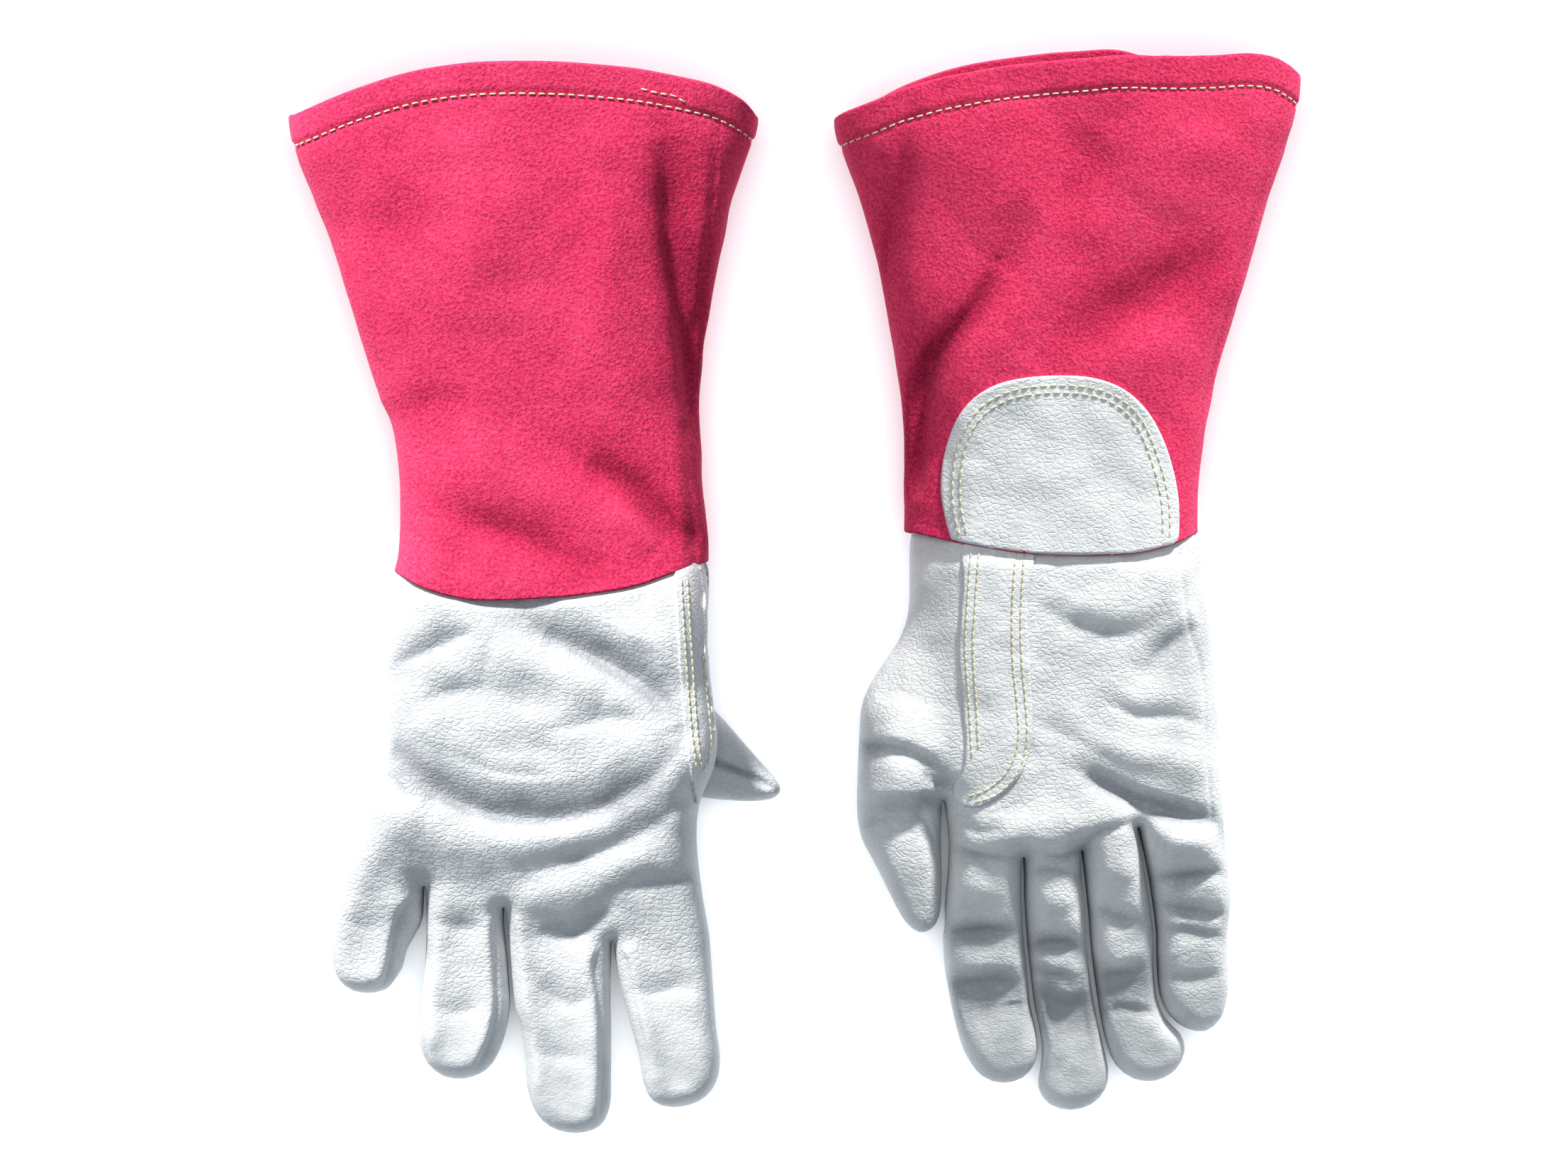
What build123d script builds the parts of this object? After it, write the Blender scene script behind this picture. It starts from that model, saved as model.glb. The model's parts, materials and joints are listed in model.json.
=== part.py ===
from build123d import *

import os

# A pair of welding gloves lying side by side on a table, in millimetres.
# The left one lies palm down, the right one palm up. Fingers point along -Y, cuffs along +Y.
# Each glove is a chain of leather tubes. Every tube that moves starts just inside the end
# of the tube it hangs on, and its hinge is at the palm-side surface there, so a finger can
# curl a long way towards the palm and bend back a little.

# ---- driving dimensions ----
LEATHER = 1.2            # grain leather of hand and fingers
SUEDE = 1.4              # split suede of the cuffs
PATCH_LEATHER = 1.0      # strips and wrist patches
THREAD = 0.6             # how far the stitching stands proud
THREAD_WIDTH = 0.9
RUNNING_GAP = 0.5        # side clearance between a tube and the one it moves in
JOINT_GAP = 0.6          # lengthwise gap at a hinge
HEM_WIDTH = 10.0
HEM_EXTRA = 0.9          # the hem is folded, so it is thicker than the cuff
ROUND = 0.42             # corner radius of a tube as a share of its lesser side
NEST = LEATHER + RUNNING_GAP
FLOOR_SINK = -0.25       # tubes that rest on the table are trimmed flat at zero
OPEN_END = 4.0           # how far a hollow is cut past an open end
SIDE_WALL = (0.25, 0.75)       # shares of a finger's height taken by the walls between fingers
TIP_WALL = (0.2, 0.8)          # the same at a fingertip
TIP_CAP = 6.0                  # length of the closed end of a fingertip
TIP_ROUNDING = [(10, 1.0), (3, 0.78), (0, 0.45)]   # distance before the tip, share of its size
PALM_SHARE = 0.22              # share of the hand's height taken by the palm leather
PATCH_ROWS = (2.6, 5.2)        # stitch rows of a wrist patch, in from its edge
STRIP_ROW = 1.2                # stitch row of a seam strip, in from its edge
HEM_ROW_GAP = 1.5              # from the hem to the row of stitches under it
PLENTY = 300.0                 # longer than anything in the model
LAYOUT_CENTRE = (3.57, -2.5)   # middle of the pair on the table grid that the numbers use


# ---- tubes ----
def section(y, x_low, x_high, z_low, z_high, grow):
    """A rounded rectangle across a tube, grown or shrunk on all sides."""
    middle = ((x_low + x_high) / 2, y, (z_low + z_high) / 2)
    plane = Plane(origin=middle, x_dir=(1, 0, 0), z_dir=(0, -1, 0))
    width = x_high - x_low
    height = z_high - z_low
    radius = ROUND * min(width, height)
    return plane * RectangleRounded(width + 2 * grow, height + 2 * grow, radius + grow)


def tube(stations, grow=0.0):
    """A solid through sections given as (y, x_low, x_high, z_low, z_high)."""
    return loft([section(*station, grow) for station in stations], ruled=True)


def opened(stations, start=True, end=True):
    """The same stations with an extra one past each open end."""
    longer = list(stations)
    if start:
        y, *rest = stations[0]
        longer.insert(0, (y + OPEN_END, *rest))
    if end:
        y, *rest = stations[-1]
        longer.append((y - OPEN_END, *rest))
    return longer


def slab(stations, low, high, margin=6.0):
    """The part of space between two shares of a tube's height."""
    faces = []
    for y, x_low, x_high, z_low, z_high in stations:
        height = z_high - z_low
        bottom = z_low + low * height - (margin if low <= 0 else 0)
        top = z_low + high * height + (margin if high >= 1 else 0)
        plane = Plane(
            origin=((x_low + x_high) / 2, y, (bottom + top) / 2), x_dir=(1, 0, 0), z_dir=(0, -1, 0)
        )
        faces.append(plane * Rectangle(x_high - x_low + 2 * margin, top - bottom))
    return loft(faces, ruled=True)


def prism(outline, low=-20.0, high=90.0):
    """A plan outline carried straight up through the glove."""
    return extrude(Pos(0, 0, low) * outline, amount=high - low)


def trimmed(shape):
    """The shape without anything under the table."""
    return shape - Pos(0, 0, -25) * Box(900, 900, 50)


def solids_of(shape):
    """The solids of a shape, without crumbs left by a cut."""
    return [solid for solid in shape.solids() if solid.volume > 0.5]


def group(*shapes):
    """Separate solids kept side by side in one node."""
    return Compound([solid for shape in shapes for solid in solids_of(shape)])


def split_by_height(shape, middle):
    """The solids of a shape below and above a height."""
    low = [s for s in solids_of(shape) if s.center().Z < middle]
    high = [s for s in solids_of(shape) if s.center().Z >= middle]
    return low, high


# ---- fingers and thumbs ----
def digit(frame, base, along, middle, tip, palm_up):
    """One finger in its own frame, x across and -y towards the tip.

    base, middle and tip are (x_low, x_high, z_low, z_high) at the root, at the mid hinge and
    near the tip. along holds the distances of the hinge, the mid hinge and the tip.
    """
    hinge_at, middle_at, tip_at = along
    root_end = (-(hinge_at + JOINT_GAP), *base)
    first = [root_end, (-middle_at, *middle)]
    x_low, x_high, z_low, z_high = middle
    nested = (x_low + NEST, x_high - NEST, z_low + NEST, z_high - NEST)
    half_width = (tip[1] - tip[0]) / 2
    half_height = (tip[3] - tip[2]) / 2
    centre_x = (tip[0] + tip[1]) / 2
    centre_z = (tip[2] + tip[3]) / 2

    def rounded(before, share):
        wide, high = half_width * share, half_height * share
        return (
            -(tip_at - before),
            centre_x - wide,
            centre_x + wide,
            centre_z - high,
            centre_z + high,
        )

    last = [(-(middle_at + JOINT_GAP), *nested)] + [rounded(*step) for step in TIP_ROUNDING]
    hollow = last[:-1] + [rounded(LEATHER, 0.5)]

    first_shell = tube(first) - tube(opened(first), -LEATHER)
    side_zone = slab(opened(first), *SIDE_WALL)
    sides = first_shell & side_zone
    low, high = split_by_height(first_shell - side_zone, (base[2] + base[3]) / 2)
    last_shell = tube(last) - tube(opened(hollow, end=False), -LEATHER)
    tip_zone = slab(opened(last), *TIP_WALL)
    cap_zone = Pos(centre_x, -(tip_at - TIP_CAP) - PLENTY / 2, centre_z) * Box(PLENTY, PLENTY, PLENTY)
    tip_rest = last_shell - tip_zone
    tip_sides = (last_shell & tip_zone) - cap_zone
    tip_cap = last_shell & tip_zone & cap_zone

    front, back = (high, low) if palm_up else (low, high)
    return {
        "base_back": frame * group(*back),
        "base_front": frame * group(*front),
        "fourchettes": frame * group(sides),
        "tip": frame * group(tip_rest, tip_sides, tip_cap),
    }


# ---- plan outlines ----
def polygon(points):
    return make_face(Polyline(*points, close=True))


def arched(left, right, bottom, shoulder, top):
    """A plan outline with straight sides and an arched top."""
    arch = ThreePointArc((left, shoulder), ((left + right) / 2, top), (right, shoulder))
    return make_face(
        [
            Line((left, bottom), (left, shoulder)),
            arch,
            Line((right, shoulder), (right, bottom)),
            Line((right, bottom), (left, bottom)),
        ]
    )


def stitch_row(face, inset):
    """A thin line of stitching that follows an outline at a distance inside it."""
    return offset(face, -inset) - offset(face, -inset - THREAD_WIDTH)


def mouth_band(left, top, right, below, width):
    """The strip between two copies of the hem's arc, one below the other."""
    upper = ThreePointArc(
        (left[0], left[1] - below), (top[0], top[1] - below), (right[0], right[1] - below)
    )
    drop = below + width
    lower = ThreePointArc(
        (left[0], left[1] - drop), (top[0], top[1] - drop), (right[0], right[1] - drop)
    )
    sides = [Line(upper @ 0, lower @ 0), Line(upper @ 1, lower @ 1)]
    return make_face([upper, lower, *sides])


def layer(stations, face, palm_side, inner, outer):
    """A layer that lies on a tube inside a plan outline, on one side of its height."""
    shell = tube(stations, outer) - tube(stations, inner)
    half = slab(opened(stations), 0.5, 1.0) if palm_side == "top" else slab(opened(stations), 0.0, 0.5)
    return shell & half & prism(face)


# ---- one glove ----
def cuff_nodes(cuff):
    stations = cuff["stations"]
    left, top, right = cuff["mouth"]
    palm_top = cuff["palm_top"]
    mouth = prism(mouth_band(left, top, right, 0, HEM_WIDTH))
    below_mouth = prism(mouth_band(left, top, right, HEM_WIDTH, PLENTY))
    shell = tube(stations) - tube(opened(stations), -SUEDE)
    panels = shell & below_mouth
    low = panels & slab(opened(stations), 0.0, 0.5)
    high = panels & slab(opened(stations), 0.5, 1.0)
    hem = trimmed((tube(stations, HEM_EXTRA) - tube(opened(stations), -SUEDE)) & mouth)
    hem_thread = trimmed(
        (tube(stations, THREAD) - tube(stations))
        & prism(mouth_band(left, top, right, HEM_WIDTH + HEM_ROW_GAP, THREAD_WIDTH))
    )
    patch_face = arched(*cuff["patch"])
    palm_side = "top" if palm_top else "bottom"
    on_cuff = prism(polygon(cuff["above_wrist"]))
    patch = layer(stations, patch_face, palm_side, 0.0, PATCH_LEATHER) & on_cuff
    rows = [
        layer(stations, stitch_row(patch_face, inset), palm_side, PATCH_LEATHER, PATCH_LEATHER + THREAD)
        & on_cuff
        for inset in PATCH_ROWS
    ]
    return {
        "cuff_back_panel": trimmed(low if palm_top else high),
        "cuff_palm_panel": trimmed(high if palm_top else low),
        "cuff_hem": hem,
        "hem_stitching": hem_thread,
        "wrist_patch": patch,
        "wrist_patch_stitching": group(*rows),
    }


def hand_nodes(hand):
    """The hand without its fingers: back, palm, two seam strips and their stitching."""
    lofts = hand["lofts"]
    outer = tube(lofts[0])
    hollow = tube(opened(lofts[0]), -LEATHER)
    if len(lofts) > 1:
        hollow = tube(opened(lofts[0], end=False), -LEATHER)
    for more in lofts[1:]:
        outer = outer + tube(more)
        hollow = hollow + tube(opened(more), -LEATHER)
    shell = outer - hollow
    for x_low, x_high, from_y in hand["finger_roots"]:
        root_zone = Pos((x_low + x_high) / 2, from_y - 50, 30) * Box(x_high - x_low, 100, 120)
        shell = shell - hand["frame"] * root_zone
    for place, size in hand["notches"]:
        shell = shell - place * Box(*size)
    palm_top = hand["palm_top"]
    shares = (1.0 - PALM_SHARE, 1.0) if palm_top else (0.0, PALM_SHARE)
    palm_zone = slab(opened(lofts[0]), *shares)
    for more in lofts[1:]:
        palm_zone = palm_zone + slab(opened(more), *shares)
    palm = trimmed(shell & palm_zone)
    back = trimmed(shell - palm_zone)

    nodes = {
        "hand_back": group(back),
        "hand_palm": group(palm),
    }
    threads = []
    for name, points, side in hand["strips"]:
        face = polygon(points)
        strip = layer(lofts[0], face, side, 0.0, PATCH_LEATHER)
        row = stitch_row(face, STRIP_ROW)
        thread = layer(lofts[0], row, side, PATCH_LEATHER, PATCH_LEATHER + THREAD)
        for place, size in hand["notches"]:
            strip = strip - place * Box(*size)
            thread = thread - place * Box(*size)
        nodes[name] = group(strip)
        threads.append(thread)
    nodes["strip_stitching"] = group(*threads)
    return nodes


def named_digit(name, spec, frame, palm_up):
    """Builds one digit and names its nodes."""
    parts = digit(frame, spec["base"], spec["along"], spec["middle"], spec["tip"], palm_up)
    return {f"{name}_{part}": trimmed(shape) for part, shape in parts.items()}


# ---- left glove, palm down ----
PALM_DOWN_WRIST_Y = 0.0
PALM_DOWN_CUFF = {
    "palm_top": False,
    "mouth": ((-166.0, 154.0), (-90.0, 174.1), (-6.0, 156.0)),
    "stations": [
        (178.0, -161.6, -8.0, FLOOR_SINK, 50.0),
        (157.0, -161.6, -10.5, FLOOR_SINK, 50.0),
        (131.0, -155.6, -16.5, 0.6, 46.0),
        (103.0, -146.0, -22.5, 1.4, 42.0),
        (75.0, -137.3, -27.0, 1.8, 38.0),
        (40.0, -128.0, -27.2, 2.0, 35.0),
        (PALM_DOWN_WRIST_Y, -129.2, -25.2, 2.0, 36.0),
    ],
    "patch": (-114.0, -38.0, -18.0, 30.0, 68.0),
    "above_wrist": [
        (-200, PALM_DOWN_WRIST_Y), (-200, 100), (0, 100), (0, PALM_DOWN_WRIST_Y),
    ],
}
PALM_DOWN_FINGERS = {
    "pinky": {
        "base": (-147.2, -121.9, 1.7, 22.6),
        "middle": (-148.2, -121.9, 0.0, 20.0),
        "tip": (-146.0, -125.0, 0.5, 15.5),
        "along": (104.0, 118.0, 133.5),
    },
    "ring": {
        "base": (-120.9, -92.0, 1.7, 24.6),
        "middle": (-119.6, -93.2, 0.0, 21.0),
        "tip": (-117.0, -97.0, 0.5, 16.0),
        "along": (111.0, 134.0, 162.0),
    },
    "middle": {
        "base": (-91.0, -58.2, 1.7, 25.3),
        "middle": (-89.0, -58.2, 0.0, 22.0),
        "tip": (-83.0, -61.0, 0.5, 17.0),
        "along": (118.0, 146.0, 181.0),
    },
    "index": {
        "base": (-57.2, -26.8, 1.7, 25.3),
        "middle": (-52.5, -22.8, 0.0, 21.0),
        "tip": (-48.0, -25.0, 0.5, 16.5),
        "along": (118.0, 142.0, 172.0),
    },
}
PALM_DOWN_THUMB_TURN = 55.0
PALM_DOWN_THUMB = {
    "base": (-71.5, -45.5, 1.7, 20.0),
    "middle": (-69.5, -46.5, 1.0, 18.0),
    "tip": (-63.5, -49.0, 1.5, 14.5),
    "along": (2.0, 18.0, 38.5),
}
PALM_DOWN_HAND = {
    "palm_top": False,
    "frame": Location((0, 0, 0)),
    "lofts": [
        [
            (PALM_DOWN_WRIST_Y - JOINT_GAP, -126.8, -27.6, 4.4, 33.6),
            (-22.0, -131.0, -26.5, 1.9, 38.0),
            (-62.0, -134.8, -28.5, 1.9, 38.0),
            (-88.0, -143.5, -28.5, FLOOR_SINK, 34.0),
            (-100.0, -148.0, -26.8, FLOOR_SINK, 30.0),
            (-118.0, -149.4, -24.8, FLOOR_SINK, 27.0),
        ]
    ],
    "finger_roots": [(-170.0, -121.4, -104.0), (-121.5, -91.5, -111.0)],
    "notches": [
        (
            Location((0, 0, 0), (0, 0, PALM_DOWN_THUMB_TURN)) * Pos(-58.5, -22.0, 10.0),
            (29.0, 40.0, 33.0),
        )
    ],
    "strips": [
        (
            "back_seam_strip",
            [(-36, -4), (-36, -30), (-33, -59), (-27, -62), (-22, -55), (-22, -4)],
            "top",
        ),
        (
            "palm_seam_strip",
            [(-72, -4), (-72, -40), (-66, -60), (-50, -60), (-50, -4)],
            "bottom",
        ),
    ],
}

# ---- right glove, palm up ----
PALM_UP_WRIST_Y = 11.0
PALM_UP_FINGER_TURN = 5.5      # degrees from -Y towards +X
PALM_UP_CUFF = {
    "palm_top": True,
    "mouth": ((14.0, 152.0), (95.0, 174.8), (172.0, 170.0)),
    "stations": [
        (180.0, 19.5, 168.5, FLOOR_SINK, 52.0),
        (160.0, 19.5, 168.5, FLOOR_SINK, 52.0),
        (150.0, 18.6, 167.1, FLOOR_SINK, 50.0),
        (129.0, 24.9, 160.0, 0.2, 47.0),
        (101.0, 32.2, 151.8, 0.2, 43.0),
        (73.0, 37.2, 143.3, 0.2, 39.0),
        (40.0, 40.2, 137.6, 0.2, 36.0),
        (PALM_UP_WRIST_Y, 40.4, 137.8, 0.2, 36.0),
    ],
    "patch": (52.5, 128.5, -8.0, 31.0, 69.0),
    "above_wrist": [(0, PALM_UP_WRIST_Y), (0, 100), (200, 100), (200, PALM_UP_WRIST_Y)],
}
PALM_UP_FINGERS = {
    "index": {
        "base": (46.4, 68.0, 1.7, 26.3),
        "middle": (43.0, 68.0, 0.0, 23.0),
        "tip": (46.5, 66.0, 0.5, 18.0),
        "along": (98.0, 132.0, 170.7),
    },
    "middle": {
        "base": (68.9, 89.1, 1.7, 26.3),
        "middle": (68.9, 89.1, 0.0, 23.5),
        "tip": (70.5, 88.0, 0.5, 18.0),
        "along": (98.0, 137.0, 181.8),
    },
    "ring": {
        "base": (90.0, 110.6, 1.7, 26.3),
        "middle": (90.0, 110.6, 0.0, 23.0),
        "tip": (91.5, 109.5, 0.5, 18.0),
        "along": (98.0, 134.0, 174.6),
    },
    "pinky": {
        "base": (111.5, 135.0, 1.7, 26.3),
        "middle": (111.5, 135.0, 0.0, 21.0),
        "tip": (114.5, 133.5, 0.5, 16.5),
        "along": (98.0, 128.0, 159.3),
    },
}
PALM_UP_THUMB = {
    "base": (28.2, 50.6, 4.0, 28.5),
    "middle": (27.4, 50.6, 3.0, 26.0),
    "tip": (36.0, 50.5, 4.0, 20.0),
    "along": (66.0, 88.0, 114.3),
}
PALM_UP_HAND = {
    "palm_top": True,
    "frame": Location((0, 0, 0), (0, 0, PALM_UP_FINGER_TURN)),
    "lofts": [
        [
            (PALM_UP_WRIST_Y - JOINT_GAP, 42.8, 135.4, 2.6, 33.6),
            (-12.0, 40.5, 140.4, 2.0, 38.0),
            (-34.0, 27.2, 143.0, 2.0, 38.0),
            (-66.0, 24.5, 145.0, 2.0, 36.0),
        ],
        [
            (-63.0, 53.0, 144.3, 2.6, 35.6),
            (-66.0, 53.0, 144.4, 2.6, 35.4),
            (-90.0, 52.6, 147.2, FLOOR_SINK, 29.0),
            (-104.0, 51.8, 147.8, FLOOR_SINK, 28.0),
        ],
    ],
    "finger_roots": [(0.0, 200.0, -98.0)],
    "notches": [(Pos(32.0, -91.0, 30.0), (40.6, 50.0, 120.0))],
    "strips": [
        (
            "back_seam_strip",
            [(38, 2), (36, -20), (30, -50), (44, -50), (52, -20), (50, 2)],
            "bottom",
        ),
        (
            "palm_seam_strip",
            [(60, 6), (57.5, -20), (59, -52), (81, -52), (80, -20), (81, 6)],
            "top",
        ),
    ],
}


def glove(name, cuff, hand, fingers, thumb, finger_frame, thumb_frame, palm_up):
    nodes = {**cuff_nodes(cuff), **hand_nodes(hand)}
    for finger, spec in fingers.items():
        nodes.update(named_digit(finger, spec, finger_frame, palm_up))
    nodes.update(named_digit("thumb", thumb, thumb_frame, palm_up))
    thumb_base = [nodes.pop(f"thumb_{part}") for part in ("base_back", "base_front", "fourchettes")]
    nodes["thumb_base"] = group(*thumb_base)
    return {f"{name}_{node}": shape for node, shape in nodes.items()}


def pair():
    level = Location((0, 0, 0))
    turned = Location((0, 0, 0), (0, 0, PALM_UP_FINGER_TURN))
    thumb_turn = Location((0, 0, 0), (0, 0, PALM_DOWN_THUMB_TURN))
    left = glove(
        "palm_down", PALM_DOWN_CUFF, PALM_DOWN_HAND, PALM_DOWN_FINGERS, PALM_DOWN_THUMB,
        level, thumb_turn, False,
    )
    right = glove(
        "palm_up", PALM_UP_CUFF, PALM_UP_HAND, PALM_UP_FINGERS, PALM_UP_THUMB,
        turned, level, True,
    )
    return {**left, **right}


os.makedirs("parts", exist_ok=True)
to_centre = (-LAYOUT_CENTRE[0], -LAYOUT_CENTRE[1], 0)
for node_name, shape in pair().items():
    solids = [solid.translate(to_centre, transform=True) for solid in solids_of(shape)]
    placed = solids[0] if len(solids) == 1 else Compound(solids)
    export_step(placed, f"parts/{node_name}.step")
    box = placed.bounding_box()
    print(
        node_name, len(placed.solids()), round(placed.volume),
        [round(v, 1) for v in (*box.min, *box.max)],
    )
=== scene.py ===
import json
import math

import bpy
import numpy as np
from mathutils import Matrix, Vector
from mathutils.bvhtree import BVHTree

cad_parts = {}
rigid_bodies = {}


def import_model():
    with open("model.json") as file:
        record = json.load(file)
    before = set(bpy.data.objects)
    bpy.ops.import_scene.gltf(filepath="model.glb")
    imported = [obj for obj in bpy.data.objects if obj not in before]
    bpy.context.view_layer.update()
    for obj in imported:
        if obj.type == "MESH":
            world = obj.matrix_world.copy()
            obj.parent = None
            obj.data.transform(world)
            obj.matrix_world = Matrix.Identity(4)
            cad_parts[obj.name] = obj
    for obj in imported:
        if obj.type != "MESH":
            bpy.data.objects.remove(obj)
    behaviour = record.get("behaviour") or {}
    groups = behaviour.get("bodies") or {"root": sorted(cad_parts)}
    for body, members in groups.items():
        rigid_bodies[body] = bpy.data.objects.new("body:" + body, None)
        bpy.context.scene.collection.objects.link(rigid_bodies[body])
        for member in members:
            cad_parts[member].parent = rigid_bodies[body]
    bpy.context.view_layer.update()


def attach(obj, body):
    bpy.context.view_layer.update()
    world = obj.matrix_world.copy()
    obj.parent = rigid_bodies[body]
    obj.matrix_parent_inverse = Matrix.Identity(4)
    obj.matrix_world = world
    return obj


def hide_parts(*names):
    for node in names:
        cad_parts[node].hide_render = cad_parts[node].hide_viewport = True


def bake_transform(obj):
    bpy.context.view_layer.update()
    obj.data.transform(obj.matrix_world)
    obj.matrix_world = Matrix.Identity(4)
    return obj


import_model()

# Two welding gloves on a table, the left one palm down and the right one palm up.
# Outlines and creases are in millimetres on a table grid; to_row() turns them into the frame.
GRID_CENTRE = np.array([3.57, -2.5, 0.0])
NET_STEP = 0.9            # size of a leather mesh cell
MAP_STEP = NET_STEP / 2
RIM_POWER = 2.4           # how square the leather's edge is; 2 is an ellipse
SLIT_HALF = 0.48          # half the gap between neighbouring fingers
TABLE_CLEARANCE = 0.15
LAYER_ROUND = 0.35        # edge rounding of strips and patches
SHEET_PROUD = 0.05        # how far a sheet under a glove stands below the leather
PALM_UP_TURN = math.radians(5.5)
SHEET_THICKNESS = 1.5
LIFT_BY_CUFF = 1.6        # how much the leather bulges right next to the cuff's edge
FRAME_WIDTH = 520.5       # width of table that the camera sees


def to_row(points):
    """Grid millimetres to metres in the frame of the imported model."""
    return (np.asarray(points, float) - GRID_CENTRE) / 1000


# ---------- curves and noise ----------
def smooth_curve(points, closed=False, step=2.5):
    """A dense Catmull-Rom line through points of any dimension."""
    p = np.asarray(points, float)
    if closed:
        ahead = np.vstack([p[-1], p, p[0], p[1]])
    else:
        ahead = np.vstack([2 * p[0] - p[1], p, 2 * p[-1] - p[-2]])
    line = []
    for i in range(1, len(ahead) - 2):
        a, b, c, d = ahead[i - 1], ahead[i], ahead[i + 1], ahead[i + 2]
        count = max(2, int(np.linalg.norm(c - b) / step))
        for t in np.arange(count) / count:
            bend, twist = 2 * a - 5 * b + 4 * c - d, 3 * b - a - 3 * c + d
            line.append(0.5 * (2 * b + (c - a) * t + bend * t**2 + twist * t**3))
    if not closed:
        line.append(p[-1])
    return np.array(line)


def resample(line, pitch):
    """Points at equal spacing along an open line."""
    length = np.r_[0, np.cumsum(np.linalg.norm(np.diff(line, axis=0), axis=1))]
    at = np.arange(pitch / 2, length[-1], pitch)
    return np.stack([np.interp(at, length, line[:, k]) for k in range(line.shape[1])], axis=1)


def line_distance(x, y, line):
    """Distance from each point to an open line in plan, how far along it is, 0 to 1, and the side
    it is on: 1 to the left of the line's direction, -1 to the right."""
    flat = np.stack([np.ravel(x), np.ravel(y)], axis=1)
    best = np.full(len(flat), 1e9)
    along, side = np.zeros(len(flat)), np.zeros(len(flat))
    for i in range(len(line) - 1):
        a, b = line[i, :2], line[i + 1, :2]
        d = b - a
        t = np.clip(((flat - a) @ d) / max(d @ d, 1e-9), 0, 1)
        off = flat - a - t[:, None] * d
        away = np.hypot(off[:, 0], off[:, 1])
        closer = away < best
        best = np.where(closer, away, best)
        along = np.where(closer, (i + t) / (len(line) - 1), along)
        side = np.where(closer, np.sign(d[0] * off[:, 1] - d[1] * off[:, 0]), side)
    return tuple(part.reshape(np.shape(x)) for part in (best, along, side))


def outline_depth(x, y, line):
    """How far inside a closed outline each point is; negative outside."""
    away = line_distance(x, y, np.vstack([line, line[:1]]))[0]
    inside = np.zeros(np.shape(x), bool)
    for (ax, ay), (bx, by) in zip(line, np.roll(line, -1, axis=0)):
        if ay == by:
            continue
        crosses = (ay > y) != (by > y)
        inside ^= crosses & (x < (bx - ax) * (y - ay) / (by - ay) + ax)
    return np.where(inside, away, -away)


def soft_noise(x, y, scale, seed):
    """Smooth noise between -1 and 1 with cells of the given size."""
    table = np.random.default_rng(seed).uniform(-1, 1, (64, 64))
    u, v = np.asarray(x) / scale + 100, np.asarray(y) / scale + 100
    i, j = np.floor(u).astype(int), np.floor(v).astype(int)
    s, t = u - i, v - j
    s, t = s * s * (3 - 2 * s), t * t * (3 - 2 * t)
    c00, c10 = table[i % 64, j % 64], table[(i + 1) % 64, j % 64]
    c01, c11 = table[i % 64, (j + 1) % 64], table[(i + 1) % 64, (j + 1) % 64]
    return (c00 * (1 - s) + c10 * s) * (1 - t) + (c01 * (1 - s) + c11 * s) * t


def rise(value, low, high):
    """0 below low, 1 above high, smooth between."""
    t = np.clip((value - low) / (high - low), 0, 1)
    return t * t * (3 - 2 * t)


def creases(x, y, folds, crested=False):
    """Height of all folds at a point. A fold is (height, width to its left, width to its right, points):
    a valley where the height is negative, a swell where it is positive. A crested valley starts at a
    sharp edge on its left."""
    height = np.zeros(np.shape(x))
    for peak, left_width, right_width, points in folds:
        away, along, side = line_distance(x, y, smooth_curve(points, step=4))
        taper = np.sin(np.pi * np.clip(along, 0.03, 0.97)) ** 0.6
        q = away / np.where(side > 0, left_width, right_width)
        shape = 1 / (1 + q**2) ** 1.5 if peak < 0 else np.exp(-(q**2))
        if crested and peak < 0:
            shape = np.where(side > 0, 0.55 * np.clip(1 - q / 1.7, 0, 1) + 0.45 * shape, shape)
        height += peak * taper * shape
    return height


def panel_edges(x, y, seams, step):
    """Seams where one panel stands over the next: (side that is higher, points). Each has a groove."""
    height = np.zeros(np.shape(x))
    for higher, points in seams:
        away, along, side = line_distance(x, y, smooth_curve(points, step=4))
        taper = rise(along, 0.0, 0.12) * rise(1 - along, -0.1, 0.08)
        over = rise(away * side * higher, -0.9, 0.5)
        height += taper * (step * over * np.exp(-((away / 5.5) ** 2)) - 0.9 * np.exp(-((away / 0.8) ** 2)))
    return height


# ---------- solids given by maps over the table ----------
class Mapped:
    """A solid whose shape at each plan point comes from a few maps, kept on a fine grid."""

    def keep_maps(self, low, high):
        self.low, self.high = np.array(low, float), np.array(high, float)
        self.axes = [np.arange(low[k], high[k] + NET_STEP, MAP_STEP) for k in (0, 1)]
        x, y = np.meshgrid(*self.axes, indexing="ij")
        self.grid = np.stack(self.maps(x, y), axis=-1)

    def look_up(self, x, y):
        """The maps at any plan points, smoothly between grid points."""
        u = np.clip((x - self.low[0]) / MAP_STEP, 0, self.grid.shape[0] - 1.001)
        v = np.clip((y - self.low[1]) / MAP_STEP, 0, self.grid.shape[1] - 1.001)
        i, j = u.astype(int), v.astype(int)
        s, t = (u - i)[..., None], (v - j)[..., None]
        g = self.grid
        near = g[i, j] * (1 - s) + g[i + 1, j] * s
        far = g[i, j + 1] * (1 - s) + g[i + 1, j + 1] * s
        return np.moveaxis(near * (1 - t) + far * t, -1, 0)

    def field(self, p):
        """Below zero inside the solid."""
        return self.value(self.look_up(p[:, 0], p[:, 1]), p[:, 2])


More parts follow.
